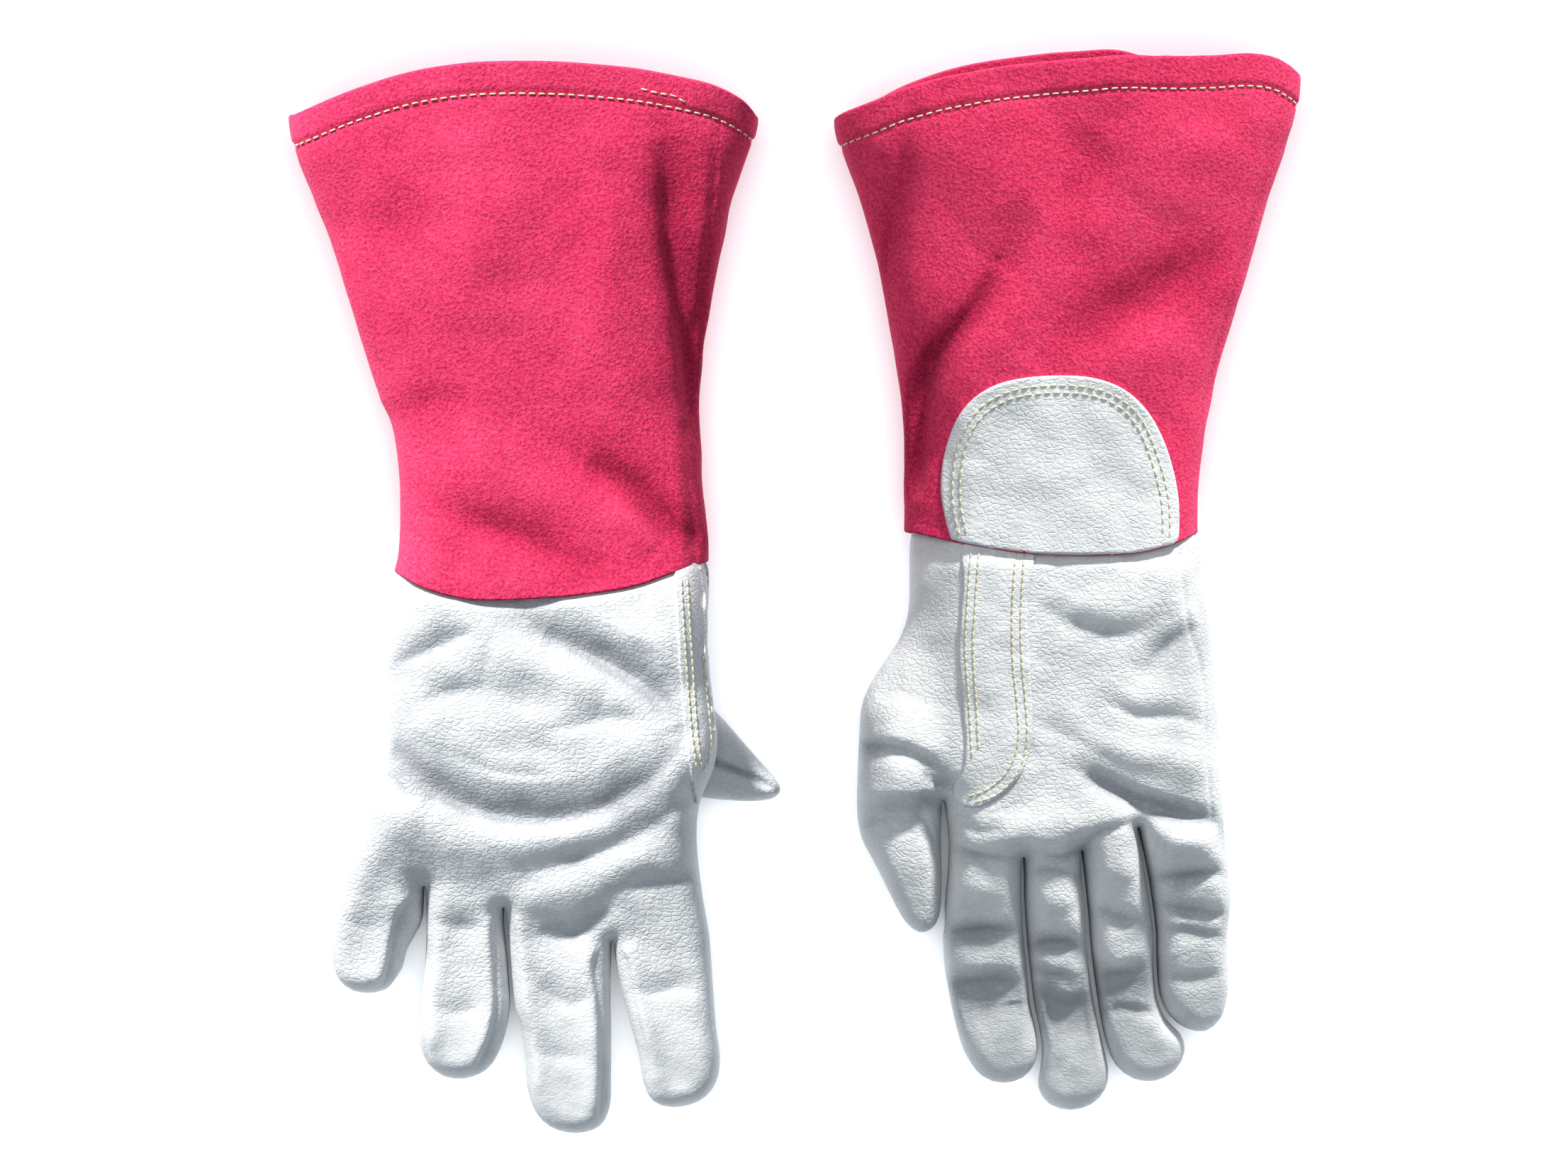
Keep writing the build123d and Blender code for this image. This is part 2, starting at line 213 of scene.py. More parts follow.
class Leather(Mapped):
    """A stuffed leather shape over a plan outline, flattened where it meets the table."""

    def __init__(self, outline, slits, shape_maps, low, high):
        self.line = smooth_curve(outline, closed=True)
        self.slits = [smooth_curve(slit) for slit in slits]
        self.shape_maps = shape_maps
        self.keep_maps(low, high)

    def maps(self, x, y):
        gap = np.full(x.shape, -9.0)
        for slit in self.slits:
            away = line_distance(x, y, slit)[0]
            gap = np.maximum(gap, SLIT_HALF - away)
        return (outline_depth(x, y, self.line), gap, *[shape_map(x, y) for shape_map in self.shape_maps])

    def value(self, maps, z):
        depth, gap, equator, top, bottom, rim, detail = maps
        above = z > equator
        lift = np.where(above, detail, 0) * rise(depth, 0.3, 5)
        half = np.where(above, top, bottom)
        across = np.clip(rim - depth, 0, None) / rim
        up = np.abs(z - lift - equator) / half
        solid = ((across**RIM_POWER + up**RIM_POWER) ** (1 / RIM_POWER) - 1) * np.minimum(rim, half)
        return np.maximum(np.maximum(solid, gap), TABLE_CLEARANCE - z)


class Layer(Mapped):
    """A thin sheet that lies on another surface inside a plan outline."""

    def __init__(self, outline, tree, thickness, from_below=False, last_y=None):
        self.line = smooth_curve(outline, closed=True, step=1.5)
        self.tree, self.half, self.from_below, self.last_y = tree, thickness / 2, from_below, last_y
        low, high = self.line.min(axis=0) - 3, self.line.max(axis=0) + 3
        self.keep_maps((*low, 0), (*high, 0))
        heights = self.grid[..., 1]
        self.low[2], self.high[2] = heights.min() - 3, heights.max() + 3

    def maps(self, x, y):
        height = np.zeros(x.shape)
        held = y if self.last_y is None else np.maximum(y, self.last_y(x))
        for place in np.ndindex(x.shape):
            hit = drop(self.tree, x[place], held[place], self.from_below)
            height[place] = hit[0][2] if hit else np.nan
        height = np.where(np.isnan(height), np.nanmin(height), height)
        gx, gy = np.gradient(height, MAP_STEP)
        middle = height + (self.half - SHEET_PROUD if self.from_below else 0.5 * self.half)
        return outline_depth(x, y, self.line), middle, np.sqrt(1 + gx**2 + gy**2)

    def value(self, maps, z):
        depth, middle, slope = maps
        out = np.clip(LAYER_ROUND - depth, 0, None)
        up = np.clip(np.abs(z - middle) / slope - self.half + LAYER_ROUND, 0, None)
        return np.hypot(out, up) - LAYER_ROUND


def surface_net(shape, step=NET_STEP):
    """Quads on the surface of a mapped solid, from a grid of its values."""
    axes = [np.arange(shape.low[i], shape.high[i] + step, step) for i in range(3)]
    x, y = np.meshgrid(axes[0], axes[1], indexing="ij")
    maps = [m[:, :, None] for m in shape.look_up(x, y)]
    f = shape.value(maps, axes[2][None, None, :])
    cells = np.array(f.shape) - 1
    total, count = np.zeros((*cells, 3)), np.zeros(cells)
    crossings = []
    for axis in range(3):
        first = np.take(f, range(cells[axis]), axis)
        second = np.take(f, range(1, cells[axis] + 1), axis)
        cross = (first < 0) != (second < 0)
        t = np.where(cross, first / np.where(cross, first - second, 1), 0)
        crossings.append((cross, first < 0))
        others = [k for k in range(3) if k != axis]
        for o in (0, 1):
            for q in (0, 1):
                part = [slice(None)] * 3
                part[others[0]] = slice(o, o + cells[others[0]])
                part[others[1]] = slice(q, q + cells[others[1]])
                hit, place = cross[tuple(part)], t[tuple(part)]
                count += hit
                total[..., axis] += hit * place
                total[..., others[0]] += hit * o
                total[..., others[1]] += hit * q
    active = count > 0
    ids = np.full(cells, -1)
    ids[active] = np.arange(active.sum())
    index = np.argwhere(active)
    verts = shape.low + step * (index + total[active] / count[active][:, None])
    faces = []
    for axis in range(3):
        cross, starts_inside = crossings[axis]
        u, v = [(1, 2), (2, 0), (0, 1)][axis]
        edges = np.argwhere(cross)
        across, up = edges[:, u], edges[:, v]
        edges = edges[(across > 0) & (up > 0) & (across < cells[u]) & (up < cells[v])]
        corners = []
        for du, dv in ((1, 1), (0, 1), (0, 0), (1, 0)):
            cell = edges.copy()
            cell[:, u] -= du
            cell[:, v] -= dv
            corners.append(ids[tuple(cell.T)])
        quads = np.stack(corners, axis=1)
        flip = ~starts_inside[tuple(edges.T)]
        quads[flip] = quads[flip][:, ::-1]
        faces.append(quads)
    return verts, np.vstack(faces)


PROBE = 0.15      # distance over which a field's slope is measured


def relax(shape, verts, faces, rounds=3):
    """Evens out a net and puts its points back on the surface."""
    edges = np.vstack([faces[:, [i, (i + 1) % 4]] for i in range(4)])
    degree = np.bincount(edges[:, 0], minlength=len(verts))[:, None]
    for _ in range(rounds):
        sums = [np.bincount(edges[:, 0], verts[edges[:, 1], k], len(verts)) for k in range(3)]
        verts = verts + 0.55 * (np.stack(sums, axis=1) / degree - verts)
        here = shape.field(verts)
        slopes = [(shape.field(verts + PROBE * axis) - here) / PROBE for axis in np.eye(3)]
        slope = np.stack(slopes, axis=1)
        size = np.clip((slope**2).sum(axis=1), 0.2, None)
        move = -here[:, None] * slope / size[:, None]
        length = np.linalg.norm(move, axis=1, keepdims=True)
        verts = verts + move * np.minimum(1, 0.7 / np.maximum(length, 1e-9))
    return verts


def normals_of(verts, faces):
    """A normal for each point of a net of quads."""
    a, b, c, d = (verts[faces[:, i]] for i in range(4))
    flat = np.cross(c - a, d - b)
    out = np.zeros_like(verts)
    for i in range(4):
        for k in range(3):
            out[:, k] += np.bincount(faces[:, i], flat[:, k], len(verts))
    return out / np.maximum(np.linalg.norm(out, axis=1, keepdims=True), 1e-12)


# ---------- Blender objects ----------
def make_object(name, verts_row, faces, materials, normals=None, fields=None):
    """A smooth mesh object in metres, with its own normals and point attributes."""
    mesh = bpy.data.meshes.new(name)
    mesh.from_pydata(np.asarray(verts_row).tolist(), [], np.asarray(faces).tolist())
    for material in materials:
        mesh.materials.append(material)
    mesh.polygons.foreach_set("use_smooth", np.ones(len(mesh.polygons), bool))
    for key, values in (fields or {}).items():
        attribute = mesh.attributes.new(key, "FLOAT", "POINT")
        attribute.data.foreach_set("value", np.asarray(values, np.float32))
    mesh.update()
    if normals is not None:
        mesh.normals_split_custom_set_from_vertices(np.asarray(normals).tolist())
    obj = bpy.data.objects.new(name, mesh)
    bpy.context.scene.collection.objects.link(obj)
    return obj


def cut_pieces(verts, faces, labels, material, fields):
    """Splits one net into objects by a name per face; shared borders keep the same normals."""
    normals = normals_of(verts, faces)
    row = to_row(verts)
    made = {}
    for name in sorted(set(labels)):
        used, local = np.unique(faces[labels == name], return_inverse=True)
        piece_fields = {key: values[used] for key, values in fields.items()}
        quads = local.reshape(-1, 4)
        made[name] = make_object(name, row[used], quads, [material], normals[used], piece_fields)
    return made


def tree_of(verts, faces):
    """A ray-casting tree in grid millimetres."""
    return BVHTree.FromPolygons(np.asarray(verts).tolist(), np.asarray(faces).tolist())


UNDER_ALL, OVER_ALL = -20.0, 120.0


def drop(tree, x, y, from_below=False):
    """The highest surface point and its normal at a plan point, or the lowest from below."""
    start = Vector((x, y, UNDER_ALL if from_below else OVER_ALL))
    point, normal, _, _ = tree.ray_cast(start, Vector((0, 0, 1.0 if from_below else -1.0)))
    if point is None:
        return None
    if (normal.z < 0) != from_below:
        normal = -normal
    return np.array(point), np.array(normal)


# ---------- left glove: hand, palm down ----------
HAND_DOWN_OUTLINE = [
    (-28.6, 19), (-28, 12), (-26, 3), (-25.2, -10), (-25.2, -26), (-23.2, -40), (-22, -50), (-23.4, -60),
    (-27.6, -70), (-29, -80), (-28.4, -92), (-26.8, -104), (-24.8, -116), (-23.8, -130), (-22.6, -146),
    (-21.3, -156), (-22.6, -164.5), (-28, -170.5), (-37, -172.6), (-43.5, -170.6), (-46.6, -164.5),
    (-48.6, -154), (-51, -145), (-53.4, -136), (-55.4, -127), (-56.5, -120.5), (-57, -117.3),
    (-57.4, -120.5), (-57.7, -128), (-57.7, -138), (-57.5, -150), (-57.6, -162), (-57.9, -172),
    (-61.2, -178.8), (-69, -181.2), (-77.5, -179.2), (-82.6, -174), (-85.3, -166), (-86, -156),
    (-87.2, -147), (-89.2, -140), (-90.3, -131), (-91.1, -121), (-92.2, -111), (-92.9, -106.6),
    (-93.2, -111), (-92.3, -121), (-91.5, -131), (-91.2, -139), (-92.4, -147), (-95.2, -155),
    (-99, -160.2), (-106, -163), (-113, -162.3), (-118.4, -158), (-121, -151), (-120.8, -142),
    (-119.9, -132), (-119.1, -122), (-118.8, -112), (-118.9, -103), (-119.3, -99.6), (-119.8, -103),
    (-120.2, -110), (-122.8, -115.5), (-125.6, -120.5), (-127.2, -127), (-130.2, -132), (-136, -134.5),
    (-143, -133.9), (-148, -130), (-150.1, -123), (-149.9, -113), (-148.6, -103.5), (-146.8, -96.5),
    (-142.2, -82.5), (-140, -74), (-137.2, -66), (-133.2, -58), (-131, -48), (-131.2, -36), (-131.3, -24),
    (-131, -12), (-129.8, 2), (-129, 6), (-126, 13), (-125.6, 19), (-118, 21), (-78, 21), (-36, 21),
]
HAND_DOWN_FOLDS = [
    # valleys across the back; their upper sides are the long ones
    (-2.6, 5.0, 4.0, [(-133, -27), (-124, -23), (-113, -18.5), (-101, -13)]),
    (-6.2, 7.0, 4.4, [(-80, -13.5), (-70, -18.5), (-58, -24.5), (-48, -30), (-41, -37), (-37, -47)]),
    (-5.0, 7.0, 5.0, [(-134, -43), (-127, -54), (-118, -64), (-105, -71), (-90, -75), (-74, -75.5),
                      (-60, -72), (-48, -65), (-38, -56), (-33, -48)]),
    (-0.9, 6.0, 4.5, [(-128, -93), (-116, -96.5), (-102, -97)]),
    (-2.8, 7.0, 4.5, [(-84, -93), (-64, -88), (-50, -81.5), (-38, -74), (-31, -65)]),
    (-2.0, 4.0, 4.5, [(-130, -60), (-126, -66), (-120, -71)]),
    (-1.4, 4.0, 4.0, [(-118, -37), (-106, -33), (-96, -33)]),
    (-1.5, 3.5, 3.5, [(-80, -47), (-68, -45), (-56, -42), (-46, -43)]),
    (-1.0, 2.5, 2.5, [(-110, -54), (-96, -60), (-78, -61)]),
    # knuckles and fingers
    (-2.4, 5.0, 3.5, [(-82, -113), (-74, -115.5), (-65, -113), (-57, -105)]),
    (-2.0, 5.0, 3.0, [(-82, -130), (-76, -135), (-70, -138), (-64, -134)]),
    (-1.6, 4.0, 4.0, [(-118, -108), (-108, -112), (-98, -111)]),
    (-1.2, 4.0, 4.0, [(-118, -138), (-110, -140), (-99, -138)]),
    (-1.6, 4.0, 4.0, [(-56, -101), (-46, -97), (-36, -97), (-28, -93)]),
    (-1.3, 4.0, 3.0, [(-52, -132), (-44, -134), (-36, -132), (-26, -134)]),
    (-1.0, 4.0, 3.0, [(-84, -152), (-76, -155), (-66, -154)]),
    (-0.6, 4.0, 3.0, [(-147, -108), (-139, -112), (-130, -111)]),
    # swells between them
    (2.6, 8.0, 8.0, [(-98, -22), (-86, -25), (-72, -31), (-58, -37)]),
    (1.6, 7.0, 7.0, [(-112, -43), (-95, -44), (-75, -46), (-58, -52)]),
    (1.8, 7.0, 7.0, [(-120, -78), (-104, -84), (-84, -84.5), (-66, -81), (-50, -75)]),
    (1.6, 6.0, 6.0, [(-104, -104), (-88, -104), (-70, -100), (-52, -94), (-40, -86)]),
]
# Each digit: the turn of its length from -y towards +x, then distances along it: where its
# first piece starts, its mid cut, and where its two hinges start and finish bending.
DIGITS_DOWN = {
    "pinky": (0.0, 99.6, 111.5, (100, 111), (112, 124)),
    "ring": (0.0, 107.0, 124.0, (107.5, 123.5), (124.5, 142)),
    "middle": (0.0, 117.4, 135.0, (118, 134.5), (135.5, 155)),
    "index": (0.0, 117.4, 131.0, (118, 130.5), (131.5, 150)),
}
THUMB_DOWN = {"thumb": (math.radians(55), 3.6, 16.0, (4.2, 15.5), (16.5, 28))}
DIVIDERS_DOWN = [
    ("pinky", [(-119.3, -99), (-120, -110), (-123, -118), (-127, -127), (-131, -133)]),
    ("ring", [(-92.9, -106), (-91.7, -121), (-91.2, -131), (-90.7, -139), (-91, -146), (-92, -165)]),
    ("middle", [(-57, -117), (-57, -128), (-56, -138), (-54.5, -150), (-53, -165)]),
]


def finger_of(x, y, dividers, last):
    """Which finger a plan point belongs to, by the gaps between fingers."""
    name = np.full(np.shape(x), last, object)
    for finger, line in reversed(dividers):
        ys = [p[1] for p in line][::-1]
        xs = [p[0] for p in line][::-1]
        name[x < np.interp(y, ys, xs)] = finger
    return name


# The next five give the hand's shape at a plan point: the height of its widest level, how far it
# reaches above and below that, how wide its rounded rim is, and the height of its folds and seams.
def down_equator(x, y):
    thumb_side = rise(x, -75, -30) * rise(y, -85, -55) * rise(-y, -20, 20)
    return 11.5 + 3.5 * rise(y, -120, -70) + 5.0 * thumb_side


def down_top(x, y):
    cuff_edge = -3.3 + 0.0035 * (x + 90) ** 2
    bulge = LIFT_BY_CUFF * rise(y, -40, -12) * (1 - rise(y - cuff_edge, -5, 1))
    return 9.6 + 8.6 * rise(y, -128, -62) + bulge - 0.8 * rise(y, -20, 10) - 1.2 * rise(-y, 140, 178)


def down_bottom(x, y):
    thumb_side = rise(x, -75, -34) * rise(y, -85, -55) * rise(-y, -20, 20)
    return 12.5 + 3.0 * rise(y, -120, -70) - 7.5 * thumb_side


def down_rim(x, y):
    return 7.6 + 10.4 * rise(y, -118, -66)


EAST, WEST = 1, -1      # the higher side of a seam that runs towards the fingertip
BACK_SEAMS_DOWN = [
    (WEST, [(-122.5, -102), (-126.6, -106), (-129, -113), (-130.6, -121), (-132, -128), (-134, -132)]),
    (EAST, [(-117.6, -101), (-117.2, -112), (-117.2, -122), (-117.8, -134), (-118.8, -146), (-118, -154)]),
    (WEST, [(-95.2, -107.5), (-96.2, -114), (-95.8, -126), (-95.4, -138), (-97.6, -149), (-101.6, -157.5)]),
    (EAST, [(-90.6, -107.5), (-89, -114), (-88.4, -126), (-88, -136), (-86, -148), (-84.4, -160),
            (-84, -168)]),
    (WEST, [(-60.4, -118.6), (-63.4, -124), (-61.8, -134), (-60.8, -146), (-60.6, -160), (-61.4, -174)]),
    (EAST, [(-54.6, -118.6), (-51.6, -124), (-49.6, -135), (-47.2, -146), (-45.8, -156), (-45.2, -166)]),
]


def down_detail(x, y):
    h = creases(x, y, HAND_DOWN_FOLDS, True)
    h += 0.8 * soft_noise(x + 0.35 * y, y, 15, 3) * rise(y, -125, -95)
    h += 0.35 * soft_noise(x, y + 0.4 * x, 6.5, 4)
    return h + panel_edges(x, y, BACK_SEAMS_DOWN, 1.5)


# ---------- left glove: thumb, tucked under the forefinger side ----------
THUMB_DOWN_OUTLINE = [
    (-46, -36), (-36, -33), (-27, -37.5), (-20.5, -43.5), (-13.5, -51.5), (-6.5, -59.5), (-2.2, -64.5),
    (-1.3, -68), (-4.5, -70.3), (-11, -71), (-20, -70.6), (-28, -69.6), (-38, -67), (-46, -60),
    (-50, -48),
]


def thumb_down_detail(x, y):
    seam = line_distance(x, y, np.array([(-24, -57.5), (-12, -62), (-2.5, -66.8)]))[0]
    return -2.2 * np.exp(-((seam / 1.2) ** 2)) + 0.3 * soft_noise(x, y, 7, 8)


# ---------- right glove: hand and thumb, palm up ----------
HAND_UP_OUTLINE = [
    (44.4, 33), (43.8, 24), (41.8, 15), (41.6, 0), (41, -9), (37.8, -18), (32.4, -26), (28, -33),
    (25.6, -40), (24.9, -50), (24.4, -62), (24.2, -74), (25.8, -83), (29.4, -90), (33, -97), (36.4, -104),
    (40.2, -110.6), (44.6, -114.2), (48.8, -113.2), (51.4, -109), (52.2, -101), (52.2, -91), (52, -82),
    (52.2, -75), (52.9, -70.5), (53.7, -75), (54.6, -83), (54.5, -93), (53.5, -104), (52.9, -114),
    (53.2, -124), (54.8, -134), (57.4, -146), (60.6, -155.5), (66, -162.6), (73, -164.9), (79.6, -163),
    (83.3, -158.5), (84.5, -152.5), (83.6, -146), (81.8, -138), (80.8, -128), (79.6, -117), (78.7, -104),
    (78.6, -94), (79.1, -89.6), (79.7, -94), (79.9, -104), (80.8, -117), (82, -128), (83.2, -138),
    (84.9, -146), (86, -153), (85.4, -160), (84.8, -166.5), (88.4, -172), (95.5, -174), (102.6, -172),
    (107, -167), (108, -160.5), (106.4, -153), (104.6, -145), (102.6, -133), (101, -121), (99.8, -107),
    (98.4, -94), (98.4, -87), (99.6, -94), (101, -107), (102.2, -121), (103.8, -133), (105.8, -145),
    (107.8, -153), (110.6, -159), (116.4, -163.4), (124, -164), (130.6, -160.2), (133.4, -154),
    (132, -148.4), (127.2, -143.6), (123.9, -136), (122.8, -126), (122.4, -114), (121, -103),
    (118.9, -91), (117, -79.3), (120.1, -91), (122.2, -103), (123.6, -114), (124, -126), (125.1, -135.5),
    (128.4, -142.4), (133.6, -146.4), (140, -147.4), (145.2, -143), (147.5, -134), (147.3, -124),
    (147.1, -114), (147.9, -104), (147.2, -94), (146, -84), (145.2, -74), (144.8, -62), (143.8, -48),
    (142.7, -34), (142, -23), (140.8, -13), (139.4, -3), (138.2, 6), (137.6, 14), (134.6, 24), (134, 33),
    (126, 35), (90, 35), (52, 35),
]
HAND_UP_FOLDS = [
    # seam between palm and fingers
    (-2.4, 1.6, 2.6, [(80, -86.5), (90, -88.2), (97, -86.4), (101.5, -81.5), (108, -78.6), (116, -76.6)]),
    (-2.2, 1.8, 3.0, [(54.8, -84), (60, -86.6), (68, -88.6), (79, -89)]),
    # palm
    (-5.0, 3.2, 3.8, [(97, -60), (104, -64), (111, -67.5), (123.7, -72.6), (132, -74.6), (140, -76),
                      (148, -79)]),
    (-2.0, 5.0, 5.0, [(80, -43), (90, -47), (100, -52), (108, -57)]),
    (-2.2, 3.0, 4.5, [(116, -32), (122, -22), (130, -15.5), (137, -12)]),
    (-2.0, 4.0, 5.0, [(82, -4), (96, -12), (112, -15), (124, -10)]),
    (-1.6, 3.0, 3.0, [(104, -36), (116, -42), (130, -42), (138, -46)]),
    # thumb and its root
    (-2.2, 3.0, 3.0, [(45, -60), (51, -64.5), (58, -67)]),
    (-2.4, 2.4, 3.0, [(44, -67), (49, -71.5), (54, -73)]),
    (-3.4, 2.0, 5.0, [(22, -50), (28, -52), (36, -52.5), (44, -55), (52, -60)]),
    (-2.4, 2.0, 3.0, [(46, -69), (44.5, -76), (48.5, -84), (50, -95), (49.5, -104)]),
    (-1.6, 2.5, 2.5, [(24, -80), (31, -77), (38, -78), (44, -82)]),
    (-1.5, 4.0, 4.0, [(30, -36), (38, -34), (48, -38)]),
    (-1.6, 2.5, 3.5, [(57, -76), (64, -80), (73, -79)]),
    # fingers: short above each crease, long below it
    (-3.6, 3.2, 5.5, [(52, -112), (58, -113.6), (67, -113.2), (79, -113)]),
    (-4.2, 3.6, 14.0, [(52.5, -130), (60, -131), (70, -130.4), (81, -130.4)]),
    (-1.8, 1.6, 4.0, [(79, -95), (84, -93.6), (90, -93.4), (99, -95)]),
    (-3.4, 3.0, 4.5, [(79.4, -118), (86, -117.6), (93, -117.6), (101, -119)]),
    (-2.2, 1.8, 3.5, [(81, -125), (88, -127.6), (97, -129)]),
    (-3.8, 3.0, 13.0, [(82, -136), (88, -135.5), (93, -139), (98, -137.5), (104, -135)]),
    (-3.2, 3.2, 5.0, [(99, -105.6), (106, -107.5), (113, -109.5), (122, -111)]),
    (-3.2, 3.4, 10.0, [(101, -122), (107, -127.6), (113, -128), (122, -124.6)]),
    (-1.4, 1.8, 4.0, [(104, -141), (112, -139), (124, -141)]),
    (-3.0, 2.8, 4.0, [(118.6, -95.6), (126, -95.4), (136, -94.4), (148, -92.6)]),
    (-2.8, 2.6, 4.0, [(121, -103.6), (130, -106), (139, -107.4), (148, -108)]),
    (-1.5, 1.6, 4.0, [(123, -112), (134, -113), (147, -116)]),
    (-1.2, 1.8, 4.0, [(125, -127), (134, -129), (146, -127)]),
    # swells
    (2.0, 5.0, 5.0, [(106, -75), (118, -80), (130, -83), (140, -85)]),
    (2.8, 9.0, 5.0, [(56, -77), (70, -80.5), (84, -81.5), (97, -77.5), (108, -73)]),
    (2.4, 6.0, 6.0, [(86, -44), (98, -50), (112, -54), (128, -57), (139, -60)]),
    (1.8, 9.0, 9.0, [(72, -20), (74, -50), (80, -72)]),
    (1.8, 9.0, 9.0, [(38, -42), (40, -62), (38, -84), (44, -100)]),
    (2.0, 10.0, 10.0, [(86, 2), (102, -4), (118, 0), (130, 4)]),
    (1.4, 9.0, 9.0, [(100, -30), (116, -36), (132, -34)]),
    (1.4, 5.0, 5.0, [(56, -99), (66, -99), (76, -99)]),
    (1.2, 4.0, 4.0, [(84, -104), (91, -104), (97, -104)]),
    (1.4, 5.0, 5.0, [(104, -94), (110, -93), (116, -95)]),
    (1.2, 4.0, 4.0, [(125, -84), (134, -84), (142, -86)]),
]
DIVIDERS_UP = [
    ("thumb", [(52.6, -70.5), (53.1, -80), (53.3, -92), (52.9, -103), (52.5, -115), (46, -121),
               (44, -170)]),
    ("index", [(79.1, -89), (79.3, -104), (80.2, -117), (81.4, -128), (82.5, -138), (84.4, -146),
               (85.4, -153), (84.7, -160), (84, -168)]),
    ("middle", [(98.4, -86), (99.2, -100), (100.4, -114), (101.6, -127), (104, -141), (107, -153),
                (109.5, -162)]),
    ("ring", [(117, -79), (119.5, -91), (121.6, -103), (123, -114), (123.4, -126), (124.5, -136),
              (127.8, -143), (133, -147.5), (140, -160)]),
]
DIGITS_UP = {
    "index": (PALM_UP_TURN, 97.0, 117.0, (97.6, 116.5), (117.5, 146)),
    "middle": (PALM_UP_TURN, 97.0, 119.0, (97.6, 118.5), (119.5, 152)),
    "ring": (PALM_UP_TURN, 96.4, 117.0, (97, 116.5), (117.5, 150)),
    "pinky": (PALM_UP_TURN, 90.4, 109.0, (91, 108.5), (109.5, 142)),
    "thumb": (0.0, 71.0, 88.0, (71.6, 87.5), (88.5, 101)),
}
PALM_SEAMS_UP = [
    [(128.7, 16), (130.7, 2), (132.6, -12), (136.4, -24), (138.3, -39), (139.2, -62), (141.5, -79)],
    [(44, -74), (48, -80), (50, -90), (50.4, -97), (49.6, -105), (46.8, -111)],
]


def off_fingertips(y):
    """0 at the palm-up glove's fingertips, 1 at mid finger and beyond."""
    return np.clip((y + 172) / 62, 0, 1)


def up_equator(x, y):
    return 7.4 + 7.4 * off_fingertips(y) + 2.0 * rise(y, -112, -70)


def up_top(x, y):
    finger = 7.0 + 5.4 * off_fingertips(y)
    hand = 19.0 - 0.6 * rise(y, -20, 10)
    thumb_zone = rise(-x, -53.2, -52.0) * rise(-y, 66, 74)
    here = finger + (hand - finger) * rise(y, -118, -76)
    here = here + LIFT_BY_CUFF * rise(y, -40, -8) * (1 - rise(y, 6, 12))
    wrist_side = rise(-x, -62, -42) * rise(y, -48, -18)
    here = here - 6.5 * wrist_side
    return here + (11.5 - 2.5 * rise(-y, 90, 112) - here) * thumb_zone


def up_bottom(x, y):
    return 8.4 + 7.4 * off_fingertips(y) + 2.0 * rise(y, -112, -70)


def up_rim(x, y):
    hand = 7.4 + 8.0 * rise(y, -100, -56)
    return hand - 2.5 * rise(-x, -53.2, -52.0) * rise(-y, 66, 74)


def up_detail(x, y):
    h = creases(x, y, HAND_UP_FOLDS, True)
    h += 0.6 * soft_noise(x - 0.3 * y, y, 14, 13) * rise(y, -125, -95)
    h += 0.28 * soft_noise(x, y - 0.3 * x, 6, 14)
    return h + panel_edges(x, y, [(WEST, seam) for seam in PALM_SEAMS_UP], 0.5)


